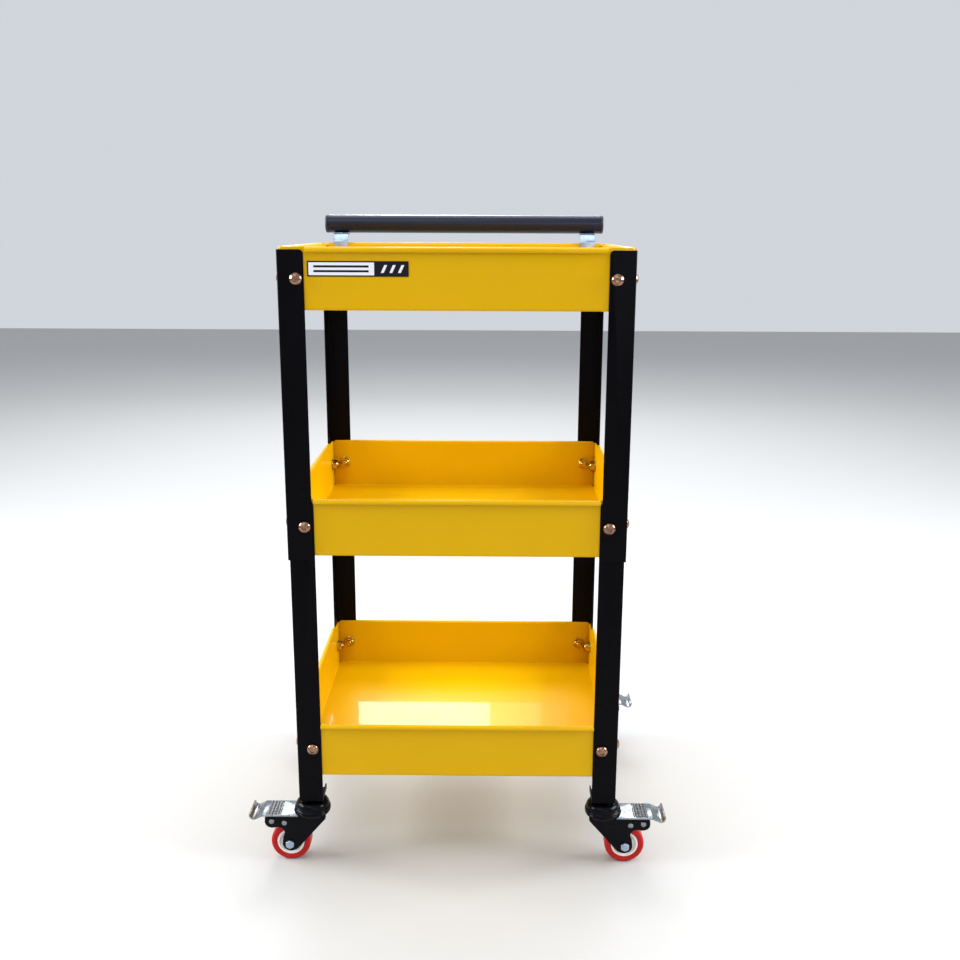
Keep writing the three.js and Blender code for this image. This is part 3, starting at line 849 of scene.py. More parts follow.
@dataclass
class AngleLegs:
    """The four legs, each an upper angle section with a lower one nested in it, and the welded feet."""

    sheet: float = 1.5
    bend: float = 2.6
    free_corner: float = 5.0
    foot_sheet: float = 3.0
    foot_lip: float = 8.0
    edge: float = 0.25
    nodes: tuple[str, ...] = ("upper_leg", "lower_leg")

    def build(self) -> None:
        """Models one leg of each kind about its outer corner and places it at the four corners."""
        for node in self.nodes:
            low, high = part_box(f"{node}_front_left")
            flange = (high.y - low.y) / MM
            master = self._angle(node, flange, high.z - low.z)
            if node == "lower_leg":
                master.gather(self._foot(flange))
            for corner in Corner:
                name = f"{node}_{corner.label}"
                low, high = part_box(name)
                sign_x, sign_y = corner.value
                outer_x = high.x if sign_x > 0 else low.x
                outer_y = high.y if sign_y > 0 else low.y
                leg = master.copy(f"{name}_section")
                leg.place(moved(outer_x, outer_y, low.z) @ mirrored(sign_x, sign_y))
                leg.finish(BLACK_COAT, "frame", [name])
            master.discard()

    def _angle(self, name: str, flange: float, length: float) -> Work:
        """An angle section standing on z = 0, with its outer corner on the Z axis.

        Args:
            name: the master's name.
            flange: how wide each flange is, in millimetres.
            length: how long it is, in metres.

        Returns:
            The section.
        """
        thick = self.sheet * MM
        reach = (flange - self.sheet) * MM
        leg = Work.block(name, (-thick, -thick, 0), (0, 0, length))
        leg.pick(Kind.FACE, x=-thick).extrude(x=-reach)
        leg.pick(Kind.FACE, y=-thick, x=(-thick, 0)).extrude(y=-reach)
        leg.pick(Kind.EDGE, x=0, y=0).round_edges(self.bend * MM, 5)
        leg.pick(Kind.EDGE, x=-thick, y=-thick).round_edges((self.bend - self.sheet) * MM, 4)
        leg.pick(Kind.EDGE, x=-flange * MM, z=length).round_edges(self.free_corner * MM, 6)
        leg.pick(Kind.EDGE, y=-flange * MM, z=length).round_edges(self.free_corner * MM, 6)
        return leg.ease_edges(self.edge * MM)

    def _foot(self, flange: float) -> Work:
        """The plate welded across a lower leg's end, with its upturned inner lip.

        Args:
            flange: how wide the leg's flanges are, in millimetres.

        Returns:
            The foot.
        """
        reach = flange * MM
        lip = self.sheet * MM
        inside = self.sheet * 0.6 * MM
        top = self.foot_sheet * MM
        foot = Work.block("foot", (-reach + lip, -reach, 0), (-inside, -inside, top))
        foot.pick(Kind.FACE, x=-reach + lip).extrude(x=-lip)
        foot.pick(Kind.FACE, z=top, x=(-reach, -reach + lip))
        foot.extrude(z=(self.foot_lip - self.foot_sheet) * MM)
        foot.pick(Kind.EDGE, x=-reach, z=0).round_edges(1.4 * MM, 4)
        return foot.ease_edges(self.edge * MM)


# ---- trays --------------------------------------------------------------------------------------------


@dataclass
class FoldedTrays:
    """The three trays, each folded from one sheet, with an open slit at every corner and beaded rims."""

    sheet: float = 1.2
    bend: float = 2.4
    bend_steps: int = 4
    first_rise: float = 2.0
    slit: float = 1.6
    corner_cut: float = 5.0
    roll: float = 2.0
    roll_turn: float = 270.0
    roll_steps: int = 14
    bead_from_leg: float = 2.0
    edge: float = 0.2

    def build(self) -> None:
        """Folds a tray for each tier."""
        for tier in Tier:
            self._tray(tier)

    def _tray(self, tier: Tier) -> None:
        """Folds one tray from its outer surface inwards.

        Args:
            tier: which tray.
        """
        node = f"{tier.value}_tray"
        low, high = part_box(node)
        reach = (2 * self.roll + self.sheet) * MM
        half_x = (high.x - low.x) / 2 - reach
        half_y = (high.y - low.y) / 2 - reach
        leg_low, leg_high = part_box("upper_leg_front_right")
        gap = self.bead_from_leg * MM
        bead_x = leg_low.x - gap
        bead_y = -(leg_high.y - (low.y + high.y) / 2) - gap
        bend = self.bend * MM
        tray = Work.sheet(node + "_folded", 2 * (half_x - bend), 2 * (half_y - bend), low.z)
        for sign in (-1, 1):
            tray.bisect((sign * bead_x, 0, low.z), (1, 0, 0))
            tray.bisect((0, sign * bead_y, low.z), (0, 1, 0))
        behind_slit = bend - (self.sheet + self.slit) * MM
        for sign in (-1, 1):
            self._wall(tray, (low.z, high.z), sign, ("y", half_y), ("x", half_x, bead_x, bend))
        for sign in (-1, 1):
            self._wall(tray, (low.z, high.z), sign, ("x", half_x), ("y", half_y, bead_y, behind_slit))
        tray.thicken(self.sheet * MM, 1)
        tray.ease_edges(self.edge * MM)
        tray.place(moved(y=(low.y + high.y) / 2))
        tray.finish(YELLOW_COAT, "frame", [node])

    def _wall(self, tray: Work, heights: tuple[float, float], sign: int, out: tuple[str, float],
              run: tuple[str, float, float, float]) -> None:
        """Folds up one wall and rolls its rim outwards between the legs.

        Args:
            tray: the tray.
            heights: the height of the floor's underside and the rim's height.
            sign: -1 for the front or the left wall and 1 for the rear or the right one.
            out: the axis that the wall faces along, and half of the tray's size along it.
            run: the axis that the wall runs along, half of the tray's size along it, how far the bead
                reaches from the middle, and how far the wall's ends reach past the floor's bends.
        """
        (facing, half), (along, half_run, bead, stretch) = out, run
        low, high = heights
        bend, roll, rise = self.bend * MM, self.roll * MM, self.first_rise * MM
        edge, face = sign * (half - bend), sign * half
        start, roll_z = low + bend, high - roll - self.sheet * MM
        turn = sign if facing == "y" else -sign
        axis = self._point(along, 1, 0)
        tray.pick(Kind.EDGE, z=low, **{facing: edge})
        tray.bend(turn * math.pi / 2, self._point(facing, edge, start), axis, self.bend_steps)
        tray.pick(Kind.EDGE, z=start, **{facing: face}).extrude(z=rise)
        tray.pick(Kind.EDGE, z=start + rise, **{facing: face}).extrude(z=roll_z - start - rise)
        for end in (-1, 1):
            at = end * (half_run - bend)
            tray.pick(Kind.VERT, z=(start + rise / 2, high), **{facing: face, along: at})
            tray.move(**{along: end * stretch})
            at += end * stretch
            tray.pick(Kind.EDGE, z=roll_z, **{facing: face, along: tuple(sorted((end * bead, at)))})
            tray.extrude(z=high - roll_z)
            tray.pick(Kind.VERT, z=high, **{facing: face, along: at})
            tray.round_vertices(self.corner_cut * MM, 1)
        tray.pick(Kind.EDGE, z=roll_z, **{facing: face, along: (-bead, bead)})
        centre = self._point(facing, sign * (half + roll), roll_z)
        tray.bend(-turn * math.radians(self.roll_turn), centre, axis, self.roll_steps)

    @staticmethod
    def _point(axis: str, at: float, height: float) -> Point:
        """A point on the X or the Y axis, lifted to a height."""
        return (at, 0, height) if axis == "x" else (0, at, height)


# ---- tray fasteners -----------------------------------------------------------------------------------


@dataclass
class TrayBolts:
    """Button-head bolts and flanged nuts at the trays' corners, two pairs at each corner."""

    head_radius: float = 7.4
    head_height: float = 4.4
    socket_flats: float = 5.0
    socket_depth: float = 2.2
    shank_radius: float = 4.0
    pitch: float = 1.25
    nut_flats: float = 13.0
    nut_height: float = 8.0
    flange_radius: float = 8.5
    flange_height: float = 1.6
    tail: float = 2.0
    side_inset: float = 24.0
    leg_sheet: float = 1.5
    tray_sheet: float = 1.2
    clearance: float = 0.3
    masters: dict[str, Work] = field(default_factory=dict)

    def build(self) -> None:
        """Models one head and one nut and sets them at every hole."""
        self.masters = {"head": self._head(), "nut": self._nut()}
        for tier in Tier:
            for corner in Corner:
                self._through_front_or_rear(tier, corner)
                self._through_side(tier, corner)
        for master in self.masters.values():
            master.discard()

    def _head(self) -> Work:
        """A button head with its hexagonal socket, seated on z = 0 and facing +Z.

        Returns:
            The head.
        """
        r, h = self.head_radius, self.head_height
        head = Work.turned("bolt_head", [
            (r * 0.96, 0), (r, 0.2), (r, 0.7), (r * 0.965, 1.3), (r * 0.885, 2.1), (r * 0.775, 2.9),
            (r * 0.65, 3.6), (r * 0.54, 4.05), (r * 0.48, h)], 32)
        head.gather(Work.turned("bolt_shank", [(self.shank_radius, -2.5), (self.shank_radius, 0.5)], 16))
        flats = self.socket_flats / math.sqrt(3)
        socket = Work.turned("bolt_socket", [(flats, h - self.socket_depth), (flats, h + 1)], 6)
        head.cut(socket)
        return head.ease_edges(0.12 * MM)

    def _nut(self) -> Work:
        """A flanged hexagonal nut on the bolt's threaded end, seated on z = 0 and facing +Z.

        Returns:
            The nut.
        """
        corner, top = self.nut_flats / math.sqrt(3), self.nut_height
        body = hexagon("nut", self.nut_flats, 0.4, top, [(0.1, 0), (0.1, top - 1.1), (-1.1, top + 0.02)])
        flange = Work.turned("nut_flange", [
            (self.flange_radius - 0.2, 0), (self.flange_radius, 0.3), (self.flange_radius, 0.8),
            (self.flange_radius - 1.6, self.flange_height), (corner - 1.2, self.flange_height + 0.4)], 32)
        body.fuse(flange)
        body.cut(Work.turned("nut_bore", [(self.shank_radius + 0.5, top - 0.5),
                                          (self.shank_radius + 1.0, top + 0.2)], 24))
        body.ease_edges(0.15 * MM)
        rings = [(self.shank_radius - 0.6, 1.0)]
        height = top - 2.0
        while height < top + self.tail - self.pitch:
            rings += [(self.shank_radius, height), (self.shank_radius - 0.55, height + self.pitch / 2)]
            height += self.pitch
        rings += [(self.shank_radius, height), (self.shank_radius - 0.8, top + self.tail)]
        return body.gather(Work.turned("bolt_thread", rings, 24))

    def _pair(self, name: str, grip: float, place: Matrix, replaces: Sequence[str] = ()) -> None:
        """Sets a bolt and its nut: the head at y = 0 facing -Y and the nut at the grip's other end.

        Args:
            name: the pair's name.
            grip: the distance between the two seats, in metres.
            place: where the pair goes.
            replaces: the CAD nodes that the pair stands for.
        """
        head = self.masters["head"].copy(name + "_head")
        # The heads' pinkish bronze is painted reflection of the yellow trays.
        head.place(place @ moved(tilt=math.pi / 2)).finish(BRONZE_PAINTED_REFLECTION, "frame", replaces)
        nut = self.masters["nut"].copy(name + "_nut")
        nut.place(place @ moved(y=grip, tilt=-math.pi / 2)).finish(BRASSY, "frame")

    def _through_front_or_rear(self, tier: Tier, corner: Corner) -> None:
        """Sets the pair through a leg's front or rear flange, which stands for its CAD node.

        Args:
            tier: which tray.
            corner: which corner.
        """
        node = f"tray_bolt_{tier.value}_{corner.label}"
        low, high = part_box(node)
        sign_y = corner.value[1]
        seat = low.y + self.head_height * MM if sign_y < 0 else high.y - self.head_height * MM
        end = high.y if sign_y < 0 else low.y
        grip = abs(end - seat) - (self.nut_height + self.tail) * MM
        turn = 0 if sign_y < 0 else math.pi
        place = moved((low.x + high.x) / 2, seat, (low.z + high.z) / 2, turn=turn)
        self._pair(node, grip, place, [node])

    def _through_side(self, tier: Tier, corner: Corner) -> None:
        """Sets the pair through a leg's side flange.

        Args:
            tier: which tray.
            corner: which corner.
        """
        sign_x, sign_y = corner.value
        leg = "lower_leg" if tier is Tier.BOTTOM else "upper_leg"
        leg_low, leg_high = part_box(f"{leg}_{corner.label}")
        frame_low, frame_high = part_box(f"upper_leg_{corner.label}")
        outer = leg_high.x if sign_x > 0 else leg_low.x
        rear = frame_high.y if sign_y > 0 else frame_low.y
        layers = 2 if tier is Tier.MIDDLE else 1
        grip = (layers * (self.leg_sheet + self.clearance) + self.tray_sheet + 2 * self.clearance) * MM
        bolt_low, bolt_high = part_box(f"tray_bolt_{tier.value}_{corner.label}")
        place = moved(outer + sign_x * self.clearance * MM, rear - sign_y * self.side_inset * MM,
                      (bolt_low.z + bolt_high.z) / 2, turn=sign_x * math.pi / 2)
        self._pair(f"side_bolt_{tier.value}_{corner.label}", grip, place)


# ---- handle -------------------------------------------------------------------------------------------


@dataclass
class PushHandle:
    """The push handle: a tube with an end cap at either end, two folded brackets and their screws."""

    wall: float = 1.5
    cap_round: float = 1.6
    plug_gap: float = 0.3
    plug_length: float = 9.0
    bracket_sheet: float = 2.5
    bracket_bend: float = 3.0
    bracket_over_rim: float = 2.5
    tab_corner: float = 5.0
    foot_corner: float = 2.5
    driver_reach: float = 2.4
    driver_half: float = 0.45
    edge: float = 0.3

    def build(self) -> None:
        """Models the tube, the caps, the brackets and the screws."""
        self._tube()
        for side in Side:
            self._cap(side)
            self._bracket(side)
            self._screw(side)

    def _axis(self) -> tuple[float, float, float]:
        """The tube's axis.

        Returns:
            Its y, its z and the tube's radius.
        """
        low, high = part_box("handle_tube")
        return (low.y + high.y) / 2, (low.z + high.z) / 2, (high.z - low.z) / 2

    def _tube(self) -> None:
        """The tube, a thick-walled ring grown along its own axis."""
        low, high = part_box("handle_tube")
        y, z, radius = self._axis()
        half = (high.x - low.x) / 2 / MM
        outer, inner = radius / MM, radius / MM - self.wall
        tube = Work.turned("handle_tube_drawn", [
            (inner, -half), (outer - 0.3, -half), (outer, -half + 0.3), (outer, half - 0.3),
            (outer - 0.3, half), (inner, half)], 64, closed=True)
        tube.place(moved(0, y, z) @ Matrix.Rotation(math.pi / 2, 4, "Y"))
        tube.finish(HANDLE_COAT, "frame", ["handle_tube"])

    def _cap(self, side: Side) -> None:
        """An end cap with a rounded face, a gate mark in its middle and its plug inside the tube.

        Args:
            side: which end.
        """
        node = f"handle_cap_{side.name.lower()}"
        low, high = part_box(node)
        y, z, radius = self._axis()
        outer, turn = radius / MM, self.cap_round
        tube_low, tube_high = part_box("handle_tube")
        face, end = (high.x, tube_high.x) if side is Side.RIGHT else (low.x, tube_low.x)
        depth = abs(face - end) / MM
        plug = outer - self.wall - self.plug_gap
        rings = [(plug - 0.3, -self.plug_length), (plug, 0.6 - self.plug_length), (plug, 0.3), (outer, 0.3),
                 (outer, depth - turn)]
        rings += [(outer - turn + turn * math.cos(a), depth - turn + turn * math.sin(a))
                  for a in (math.pi * share / 12 for share in range(1, 7))]
        rings += [(2.2, depth), (2.0, depth - 0.35)]
        cap = Work.turned(node + "_moulded", rings, 64)
        cap.place(moved(end, y, z) @ Matrix.Rotation(side.value * math.pi / 2, 4, "Y"))
        cap.finish(CAP_PLASTIC, "frame", [node])

    def _bracket(self, side: Side) -> None:
        """A bracket folded from strip: up the tray's rear wall, back over the rim, level under the tube.

        Args:
            side: which bracket.
        """
        node = f"handle_bracket_{side.name.lower()}"
        low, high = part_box(node)
        middle = (low.x + high.x) / 2
        half = (high.x - low.x) / 2
        thick = self.bracket_sheet * MM
        bend = self.bracket_bend * MM
        slope = math.pi / 4
        rise = high.z - low.z
        run = high.y - low.y
        strip = Work.block(node + "_folded", (-half, 0, 0), (half, thick, 2 * MM))
        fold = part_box("top_tray")[1].z + self.bracket_over_rim * MM
        straight = fold - low.z - 2 * bend * math.tan(slope / 2)
        strip.pick(Kind.FACE, z=2 * MM).extrude(z=straight - 2 * MM)
        strip.pick(Kind.FACE, z=straight)
        centre_y = thick + bend
        strip.bend(-slope, (0, centre_y, straight), (1, 0, 0), 5)
        turned_y = centre_y - (bend + thick) * math.cos(slope)
        turned_z = straight + (bend + thick) * math.sin(slope)
        final_z = rise - (bend + thick) * (1 - math.cos(slope))
        length = (final_z - turned_z) / math.sin(slope)
        strip.extrude(y=length * math.cos(slope), z=length * math.sin(slope))
        spin_y = turned_y + length * math.cos(slope) + (bend + thick) * math.cos(slope)
        spin_z = rise - thick - bend
        strip.bend(-slope, (0, spin_y, spin_z), (1, 0, 0), 5)
        strip.extrude(y=run - spin_y)
        for edge in (-half, half):
            strip.pick(Kind.EDGE, x=edge, y=run).round_edges(self.tab_corner * MM, 6)
            strip.pick(Kind.EDGE, x=edge, z=0).round_edges(self.foot_corner * MM, 4)
        strip.ease_edges(self.edge * MM)
        strip.place(moved(middle, low.y, low.z))
        strip.finish(BLUE_ZINC, "frame", [node])

    def _screw(self, side: Side) -> None:
        """A pan-head screw up through the bracket's tab into the tube.

        Args:
            side: which screw.
        """
        node = f"handle_screw_{side.name.lower()}"
        low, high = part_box(node)
        radius = (high.x - low.x) / 2 / MM
        height = (high.z - low.z) / MM
        screw = Work.turned(node + "_headed", [
            (radius * 0.55, 0), (radius * 0.82, 0.35), (radius * 0.96, 1.0), (radius, 1.7), (radius, 2.6),
            (radius * 0.97, 2.8), (2.5, 2.8), (2.5, height - 0.8), (1.7, height)], 32)
        reach, half = self.driver_reach * MM, self.driver_half * MM
        for turn in (0, math.pi / 2):
            slot = Work.block("driver_slot", (-reach, -half, -1 * MM), (reach, half, 1.3 * MM))
            slot.place(moved(turn=turn))
            screw.cut(slot)
        screw.place(moved((low.x + high.x) / 2, (low.y + high.y) / 2, low.z))
        screw.finish(BLUE_ZINC, "frame", [node])


# ---- casters ------------------------------------------------------------------------------------------


@dataclass
class BrakedCaster:
    """A threaded-stem swivel caster with a wheel brake, modelled once about its stem with its wheel at +X."""

    race_radius: float = 22.5
    race_split: float = 69.0
    trail: float = 28.0
    axle_height: float = 25.0
    wheel_radius: float = 25.0
    half_width: float = 10.0
    core_radius: float = 17.2
    fork_inner: float = 11.5
    fork_sheet: float = 2.0
    pivot: tuple[float, float] = (50.5, 56.0)
    stop: tuple[float, float] = (34.5, 54.0)
    pedal_half: float = 18.0
    knurl_pitch: float = 4.1
    stem_radius: float = 5.0
    stem_top: float = 103.0
    thread_pitch: float = 1.5
    collar_flats: float = 17.0
    collar_top: float = 84.7
    nut_flats: float = 16.0
    nut_low: float = 88.3
    nut_height: float = 8.0
    axle_flats: float = 10.0
    axle_radius: float = 3.0
    axle_head: float = 4.0
    bore: float = 3.3
    shoulder: float = 3.2
    pedal_sheet: float = 2.0
    pedal_top: float = 67.0
    heel: float = 16.0
    flat_end: float = 60.0
    dip: float = 26.0
    dip_radius: float = 8.0
    dip_run: float = 7.36
    rise: float = 75.0
    curl_radius: float = 4.6
    tip: float = 2.6
    slot: tuple[float, float] = (38.0, 39.2)
    grip: tuple[float, float] = (39.9, 56.3)
    cam_radius: float = 7.0
    clearance: float = 0.3
    masters: dict[str, Work] = field(default_factory=dict)

    def build(self) -> None:
        """Models each part once and sets copies of it at the four corners."""
        self.masters = {
            "caster_stem": self._stem(),
            "stem_nut": self._stem_nut(),
            "caster_fork": self._fork(),
            "fork_rivets": self._rivets(),
            "wheel_axle": self._axle(),
            "wheel_core": self._core(),
            "wheel_tyre": self._tyre(),
            "brake_pedal": self._pedal(),
            "pedal_grip": self._grip(),
        }
        for corner in Corner:
            self._dress(corner)
        for master in self.masters.values():
            master.discard()

    @staticmethod
    def _across(part: Work, x: float, z: float) -> Work:
        """Lays a turned part across the caster, at a place in millimetres."""
        return part.place(moved(x * MM, 0, z * MM, tilt=math.pi / 2))

    def _dress(self, corner: Corner) -> None:
        """Copies every part to a corner and gives it its finish and its body.

        Args:
            corner: which corner.
        """
        low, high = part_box(f"caster_stem_{corner.label}")
        turn = math.pi if corner.value[0] < 0 else 0
        place = moved((low.x + high.x) / 2, (low.y + high.y) / 2, turn=turn)
        dressing = {
            "caster_stem": (DIPPED_BLACK, "frame", True),
            "stem_nut": (BLUE_ZINC, "frame", True),
            "caster_fork": (DIPPED_BLACK, f"fork_{corner.label}", True),
            "fork_rivets": (PEDAL_ZINC, f"fork_{corner.label}", False),
            "wheel_axle": (BLUE_ZINC, f"fork_{corner.label}", True),
            "wheel_core": (PALE_NYLON, f"wheel_{corner.label}", True),
            "wheel_tyre": (RED_URETHANE, f"wheel_{corner.label}", True),
            "brake_pedal": (PEDAL_ZINC, f"pedal_{corner.label}", True),
            "pedal_grip": (WORN_ZINC_AND_PAINTED_SHADE, f"pedal_{corner.label}", False),
        }
        for part, (finish, body, stands_for) in dressing.items():
            node = f"{part}_{corner.label}"
            piece = self.masters[part].copy(node + "_made").place(place)
            piece.finish(finish, body, [node] if stands_for else [])

    def _stem(self) -> Work:
        """The upper race with its rolled shoulder, the hexagonal collar, the thread and the king pin.

        Returns:
            The stem.
        """
        r, z = self.race_radius, self.race_split + self.clearance
        race = Work.turned("race", [
            (r - 1.2, z), (r - 0.4, z + 0.25), (r, z + 0.9), (r, z + 2.3), (r - 0.5, z + 3.0),
            (r - 1.3, z + 3.4), (r - 1.25, z + 4.1), (r - 1.35, z + 5.6), (r - 1.8, z + 7.4),
            (r - 2.7, z + 9.1), (r - 4.0, z + 10.5), (r - 5.6, z + 11.5), (r - 7.0, z + 11.9),
            (r - 7.9, z + 11.8), (r - 8.5, z + 11.1), (r - 9.2, z + 10.2), (r - 13.5, z + 9.9)], 64)
        end = self.collar_top
        collar = hexagon("collar", self.collar_flats, z + 9.7, end, [
            (-0.4, z + 9.6), (0.05, z + 10.2), (0.05, end - 0.9), (-0.9, end + 0.1)])
        radius, pitch = self.stem_radius, self.thread_pitch
        rings = [(radius - 0.6, end - 0.7)]
        height = end + 0.3
        while height < self.stem_top - pitch:
            rings += [(radius, height), (radius - 0.65, height + pitch / 2)]
            height += pitch
        rings += [(radius, height), (radius - 1.0, self.stem_top)]
        thread = Work.turned("thread", rings, 24)
        pin = Work.turned("king_pin", [(7.0, 58.4), (8.5, 59.2), (8.5, 60.6), (8.0, 61.2), (5.0, 61.2),
                                       (5.0, z + 1)], 32)
        return race.gather(collar.ease_edges(0.15 * MM), thread, pin)

    def _stem_nut(self) -> Work:
        """The hexagonal nut that holds the stem to the foot.

        Returns:
            The nut.
        """
        low, high = self.nut_low, self.nut_low + self.nut_height
        nut = hexagon("stem_nut", self.nut_flats, low, high, [
            (-1.0, low - 0.02), (0.05, low + 1), (0.05, high - 1), (-1.0, high + 0.02)])
        bore = self.stem_radius + self.clearance
        nut.cut(Work.turned("nut_bore", [(bore, low - 1), (bore, high + 1)], 24))
        return nut.ease_edges(0.15 * MM)

    def _fork(self) -> Work:
        """The swivelling fork: the lower race and two pressed sides that run out to the brake's ears.

        Returns:
            The fork.
        """
        r, split = self.race_radius, self.race_split
        fork = Work.turned("lower_race", [
            (6.0, 62.0), (r - 6.0, 62.0), (r - 4.2, 62.3), (r - 2.4, 63.2), (r - 1.0, 64.7), (r - 0.2, 66.4),
            (r, 67.4), (r, split - 0.7), (r - 0.5, split), (r - 5.0, split), (r - 5.0, 64.5), (6.0, 64.5)],
            64, closed=True)
        outline = [
            (-18.3, 64.2, 0), (-17.6, 59.6, 3.0), (19.4, 17.0, 9.0), (28.6, 13.2, 9.2), (38.4, 20.0, 9.2),
            (36.6, 34.5, 6.0), (32.6, 41.5, 7.0), (40.0, 48.2, 7.0), (50.5, 46.6, 7.8), (59.8, 49.0, 7.8),
            (58.9, 63.5, 4.0), (40.0, 63.5, 0)]
        inner, outer = self.fork_inner, self.fork_inner + self.fork_sheet
        for low, high in ((inner, outer), (-outer, -inner)):
            side = Work.plate("fork_side", outline, low, high, 7)
            side.ease_edges(0.45 * MM, 3)
            fork.gather(side)
        return fork

    def _rivets(self) -> Work:
        """The two pins through the fork's ears, with their domed heads on either side.

        Returns:
            The pins.
        """
        outer = self.fork_inner + self.fork_sheet
        rings = [(2.0, -outer - 1.5), (3.0, -outer - 1.25), (3.45, -outer - 0.7), (3.5, -outer - 0.05),
                 (2.5, -outer), (2.5, outer), (3.5, outer + 0.05), (3.45, outer + 0.7),
                 (3.0, outer + 1.25), (2.0, outer + 1.5)]
        pins = []
        for x, z in (self.pivot, self.stop):
            pins.append(self._across(Work.turned("rivet", rings, 24), x, z))
        return pins[0].gather(pins[1])

    def _axle(self) -> Work:
        """The axle bolt: a hexagonal head with its washer face, the shank, and the nut.

        Returns:
            The axle.
        """
        seat = self.fork_inner + self.fork_sheet + self.clearance
        radius, length = self.axle_radius, seat + self.axle_head
        axle = Work.turned("axle", [(radius - 0.1, -length - 0.6), (radius, -length - 0.4),
                                    (radius, length + 0.6), (radius - 0.6, length + 1.0)], 24)
        for sign in (-1, 1):
            head = hexagon("axle_hex", self.axle_flats, 0, self.axle_head, [
                (-0.2, -0.02), (0.05, 0.3), (0.05, self.axle_head - 0.9), (-1.2, self.axle_head + 0.02)])
            head.ease_edges(0.15 * MM)
            tilt = 0 if sign > 0 else math.pi
            axle.gather(head.place(moved(z=sign * seat * MM, tilt=tilt)))
        return self._across(axle, self.trail, self.axle_height)

    def _core(self) -> Work:
        """The moulded wheel core: hub, dished web with a bearing cover, rim and its groove.

        Returns:
            The core.
        """
        rim, hub = self.half_width - 0.5, self.fork_inner - 0.5
        half = [(self.bore, hub), (5.6, hub), (6.2, hub - 0.5), (6.6, 6.6), (8.6, 6.0), (12.4, 6.3),
                (13.6, 7.2), (14.2, rim - 0.5), (14.8, rim), (self.core_radius - 0.4, rim),
                (self.core_radius, rim - 0.4)]
        rings = half + [(radius, -z) for radius, z in reversed(half)]
        core = Work.turned("wheel_core", rings, 64, closed=True)
        return self._across(core, self.trail, self.axle_height)

    def _tyre(self) -> Work:
        """The cast tread: flat across the middle, rounded shoulders, and a bead beside the core.

        Returns:
            The tyre.
        """
        inner, radius, half = self.core_radius + self.clearance, self.wheel_radius, self.half_width
        shoulder = self.shoulder
        side = [(inner, half - 0.7), (inner + 0.5, half - 0.25), (inner + 1.3, half - 0.1),
                (inner + 1.9, half - 0.45), (inner + 2.5, half - 0.1), (radius - shoulder, half)]
        for share in range(1, 7):
            angle = math.pi / 2 * share / 6
            side.append((radius - shoulder + shoulder * math.sin(angle),
                         half - shoulder + shoulder * math.cos(angle)))
        rings = side + [(ring, -z) for ring, z in reversed(side)]
        tyre = Work.turned("wheel_tyre", rings, 96, closed=True)
        return self._across(tyre, self.trail, self.axle_height)

    def _grip(self) -> Work:
        """The raised patch on a pedal's tread, pressed into square points so that a shoe grips it.

        Returns:
            The patch.
        """
        (start, end), half, top = self.grip, self.pedal_half * 0.9 * MM, self.pedal_top * MM
        across = round((end - start) / self.knurl_pitch)
        along = round(2 * half / MM / self.knurl_pitch)
        patch = Work.block("grip", (start * MM, -half, top - 0.6 * MM), (end * MM, half, top + 0.2 * MM))
        for step in range(1, across):
            patch.bisect(((start + (end - start) * step / across) * MM, 0, 0), (1, 0, 0))
        for step in range(1, along):
            patch.bisect((0, -half + 2 * half * step / along, 0), (0, 1, 0))
        patch.pick(Kind.FACE, facing=(0, 0, 1))
        bpy.ops.mesh.inset(thickness=self.knurl_pitch * 0.34 * MM, depth=1.1 * MM, use_individual=True)
        return patch

    def _pedal(self) -> Work:
        """The pressed brake pedal: a level tread with a slot, a dip and a turned-up toe, cheeks and the cam.

        Returns:
            The pedal.
        """
        half, top, thick = self.pedal_half * MM, self.pedal_top * MM, self.pedal_sheet * MM
        low, middle = top - thick, top - thick / 2
        start, flat = self.heel * MM, self.flat_end * MM
        stub = start + 4 * MM
        tread = Work.block("tread", (start, -half, low), (stub, half, top))
        tread.pick(Kind.FACE, x=stub).extrude(x=flat - stub)
        down, dip, run = math.radians(self.dip), self.dip_radius * MM, self.dip_run * MM
        tread.bend(down, (flat, 0, middle - dip), (0, 1, 0), 6)
        tread.extrude(x=run * math.cos(down), z=-run * math.sin(down))
        end_x = flat + dip * math.sin(down) + run * math.cos(down)
        end_z = middle - dip + dip * math.cos(down) - run * math.sin(down)
        curl, up, tip = self.curl_radius * MM, math.radians(self.rise), self.tip * MM
        turn = (end_x + curl * math.sin(down), 0, end_z + curl * math.cos(down))
        tread.bend(-(down + up), turn, (0, 1, 0), 10)
        tread.extrude(x=tip * math.cos(up), z=tip * math.sin(up))
        tread.ease_edges(0.35 * MM)
        tread.cut(Work.turned("race_room", [(self.race_radius + 1, 60), (self.race_radius + 1, 70)], 64))
        slot_from, slot_to = (edge * MM for edge in self.slot)
        tread.cut(Work.block("slot", (slot_from, -half * 0.86, low - MM), (slot_to, half * 0.86, top + MM)))
        outline = [(42.5, 66.0, 0), (43.6, 50.5, 5.5), (50.5, 48.2, 6.0), (57.4, 50.5, 5.5), (58.5, 66.0, 0)]
        outer = self.fork_inner - 0.5
        for a, b in ((outer - self.pedal_sheet, outer), (-outer, -outer + self.pedal_sheet)):
            cheek = Work.plate("cheek", outline, a, b, 6)
            cheek.ease_edges(0.25 * MM)
            tread.gather(cheek)
        half_cam = [(self.cam_radius - 0.4, outer - 1.5), (self.cam_radius, outer - 1.9)]
        rings = [(radius, -z) for radius, z in half_cam] + half_cam[::-1]
        cam = self._across(Work.turned("cam", rings, 40), *self.pivot)
        return tread.gather(cam)


# ---- label --------------------------------------------------------------------------------------------


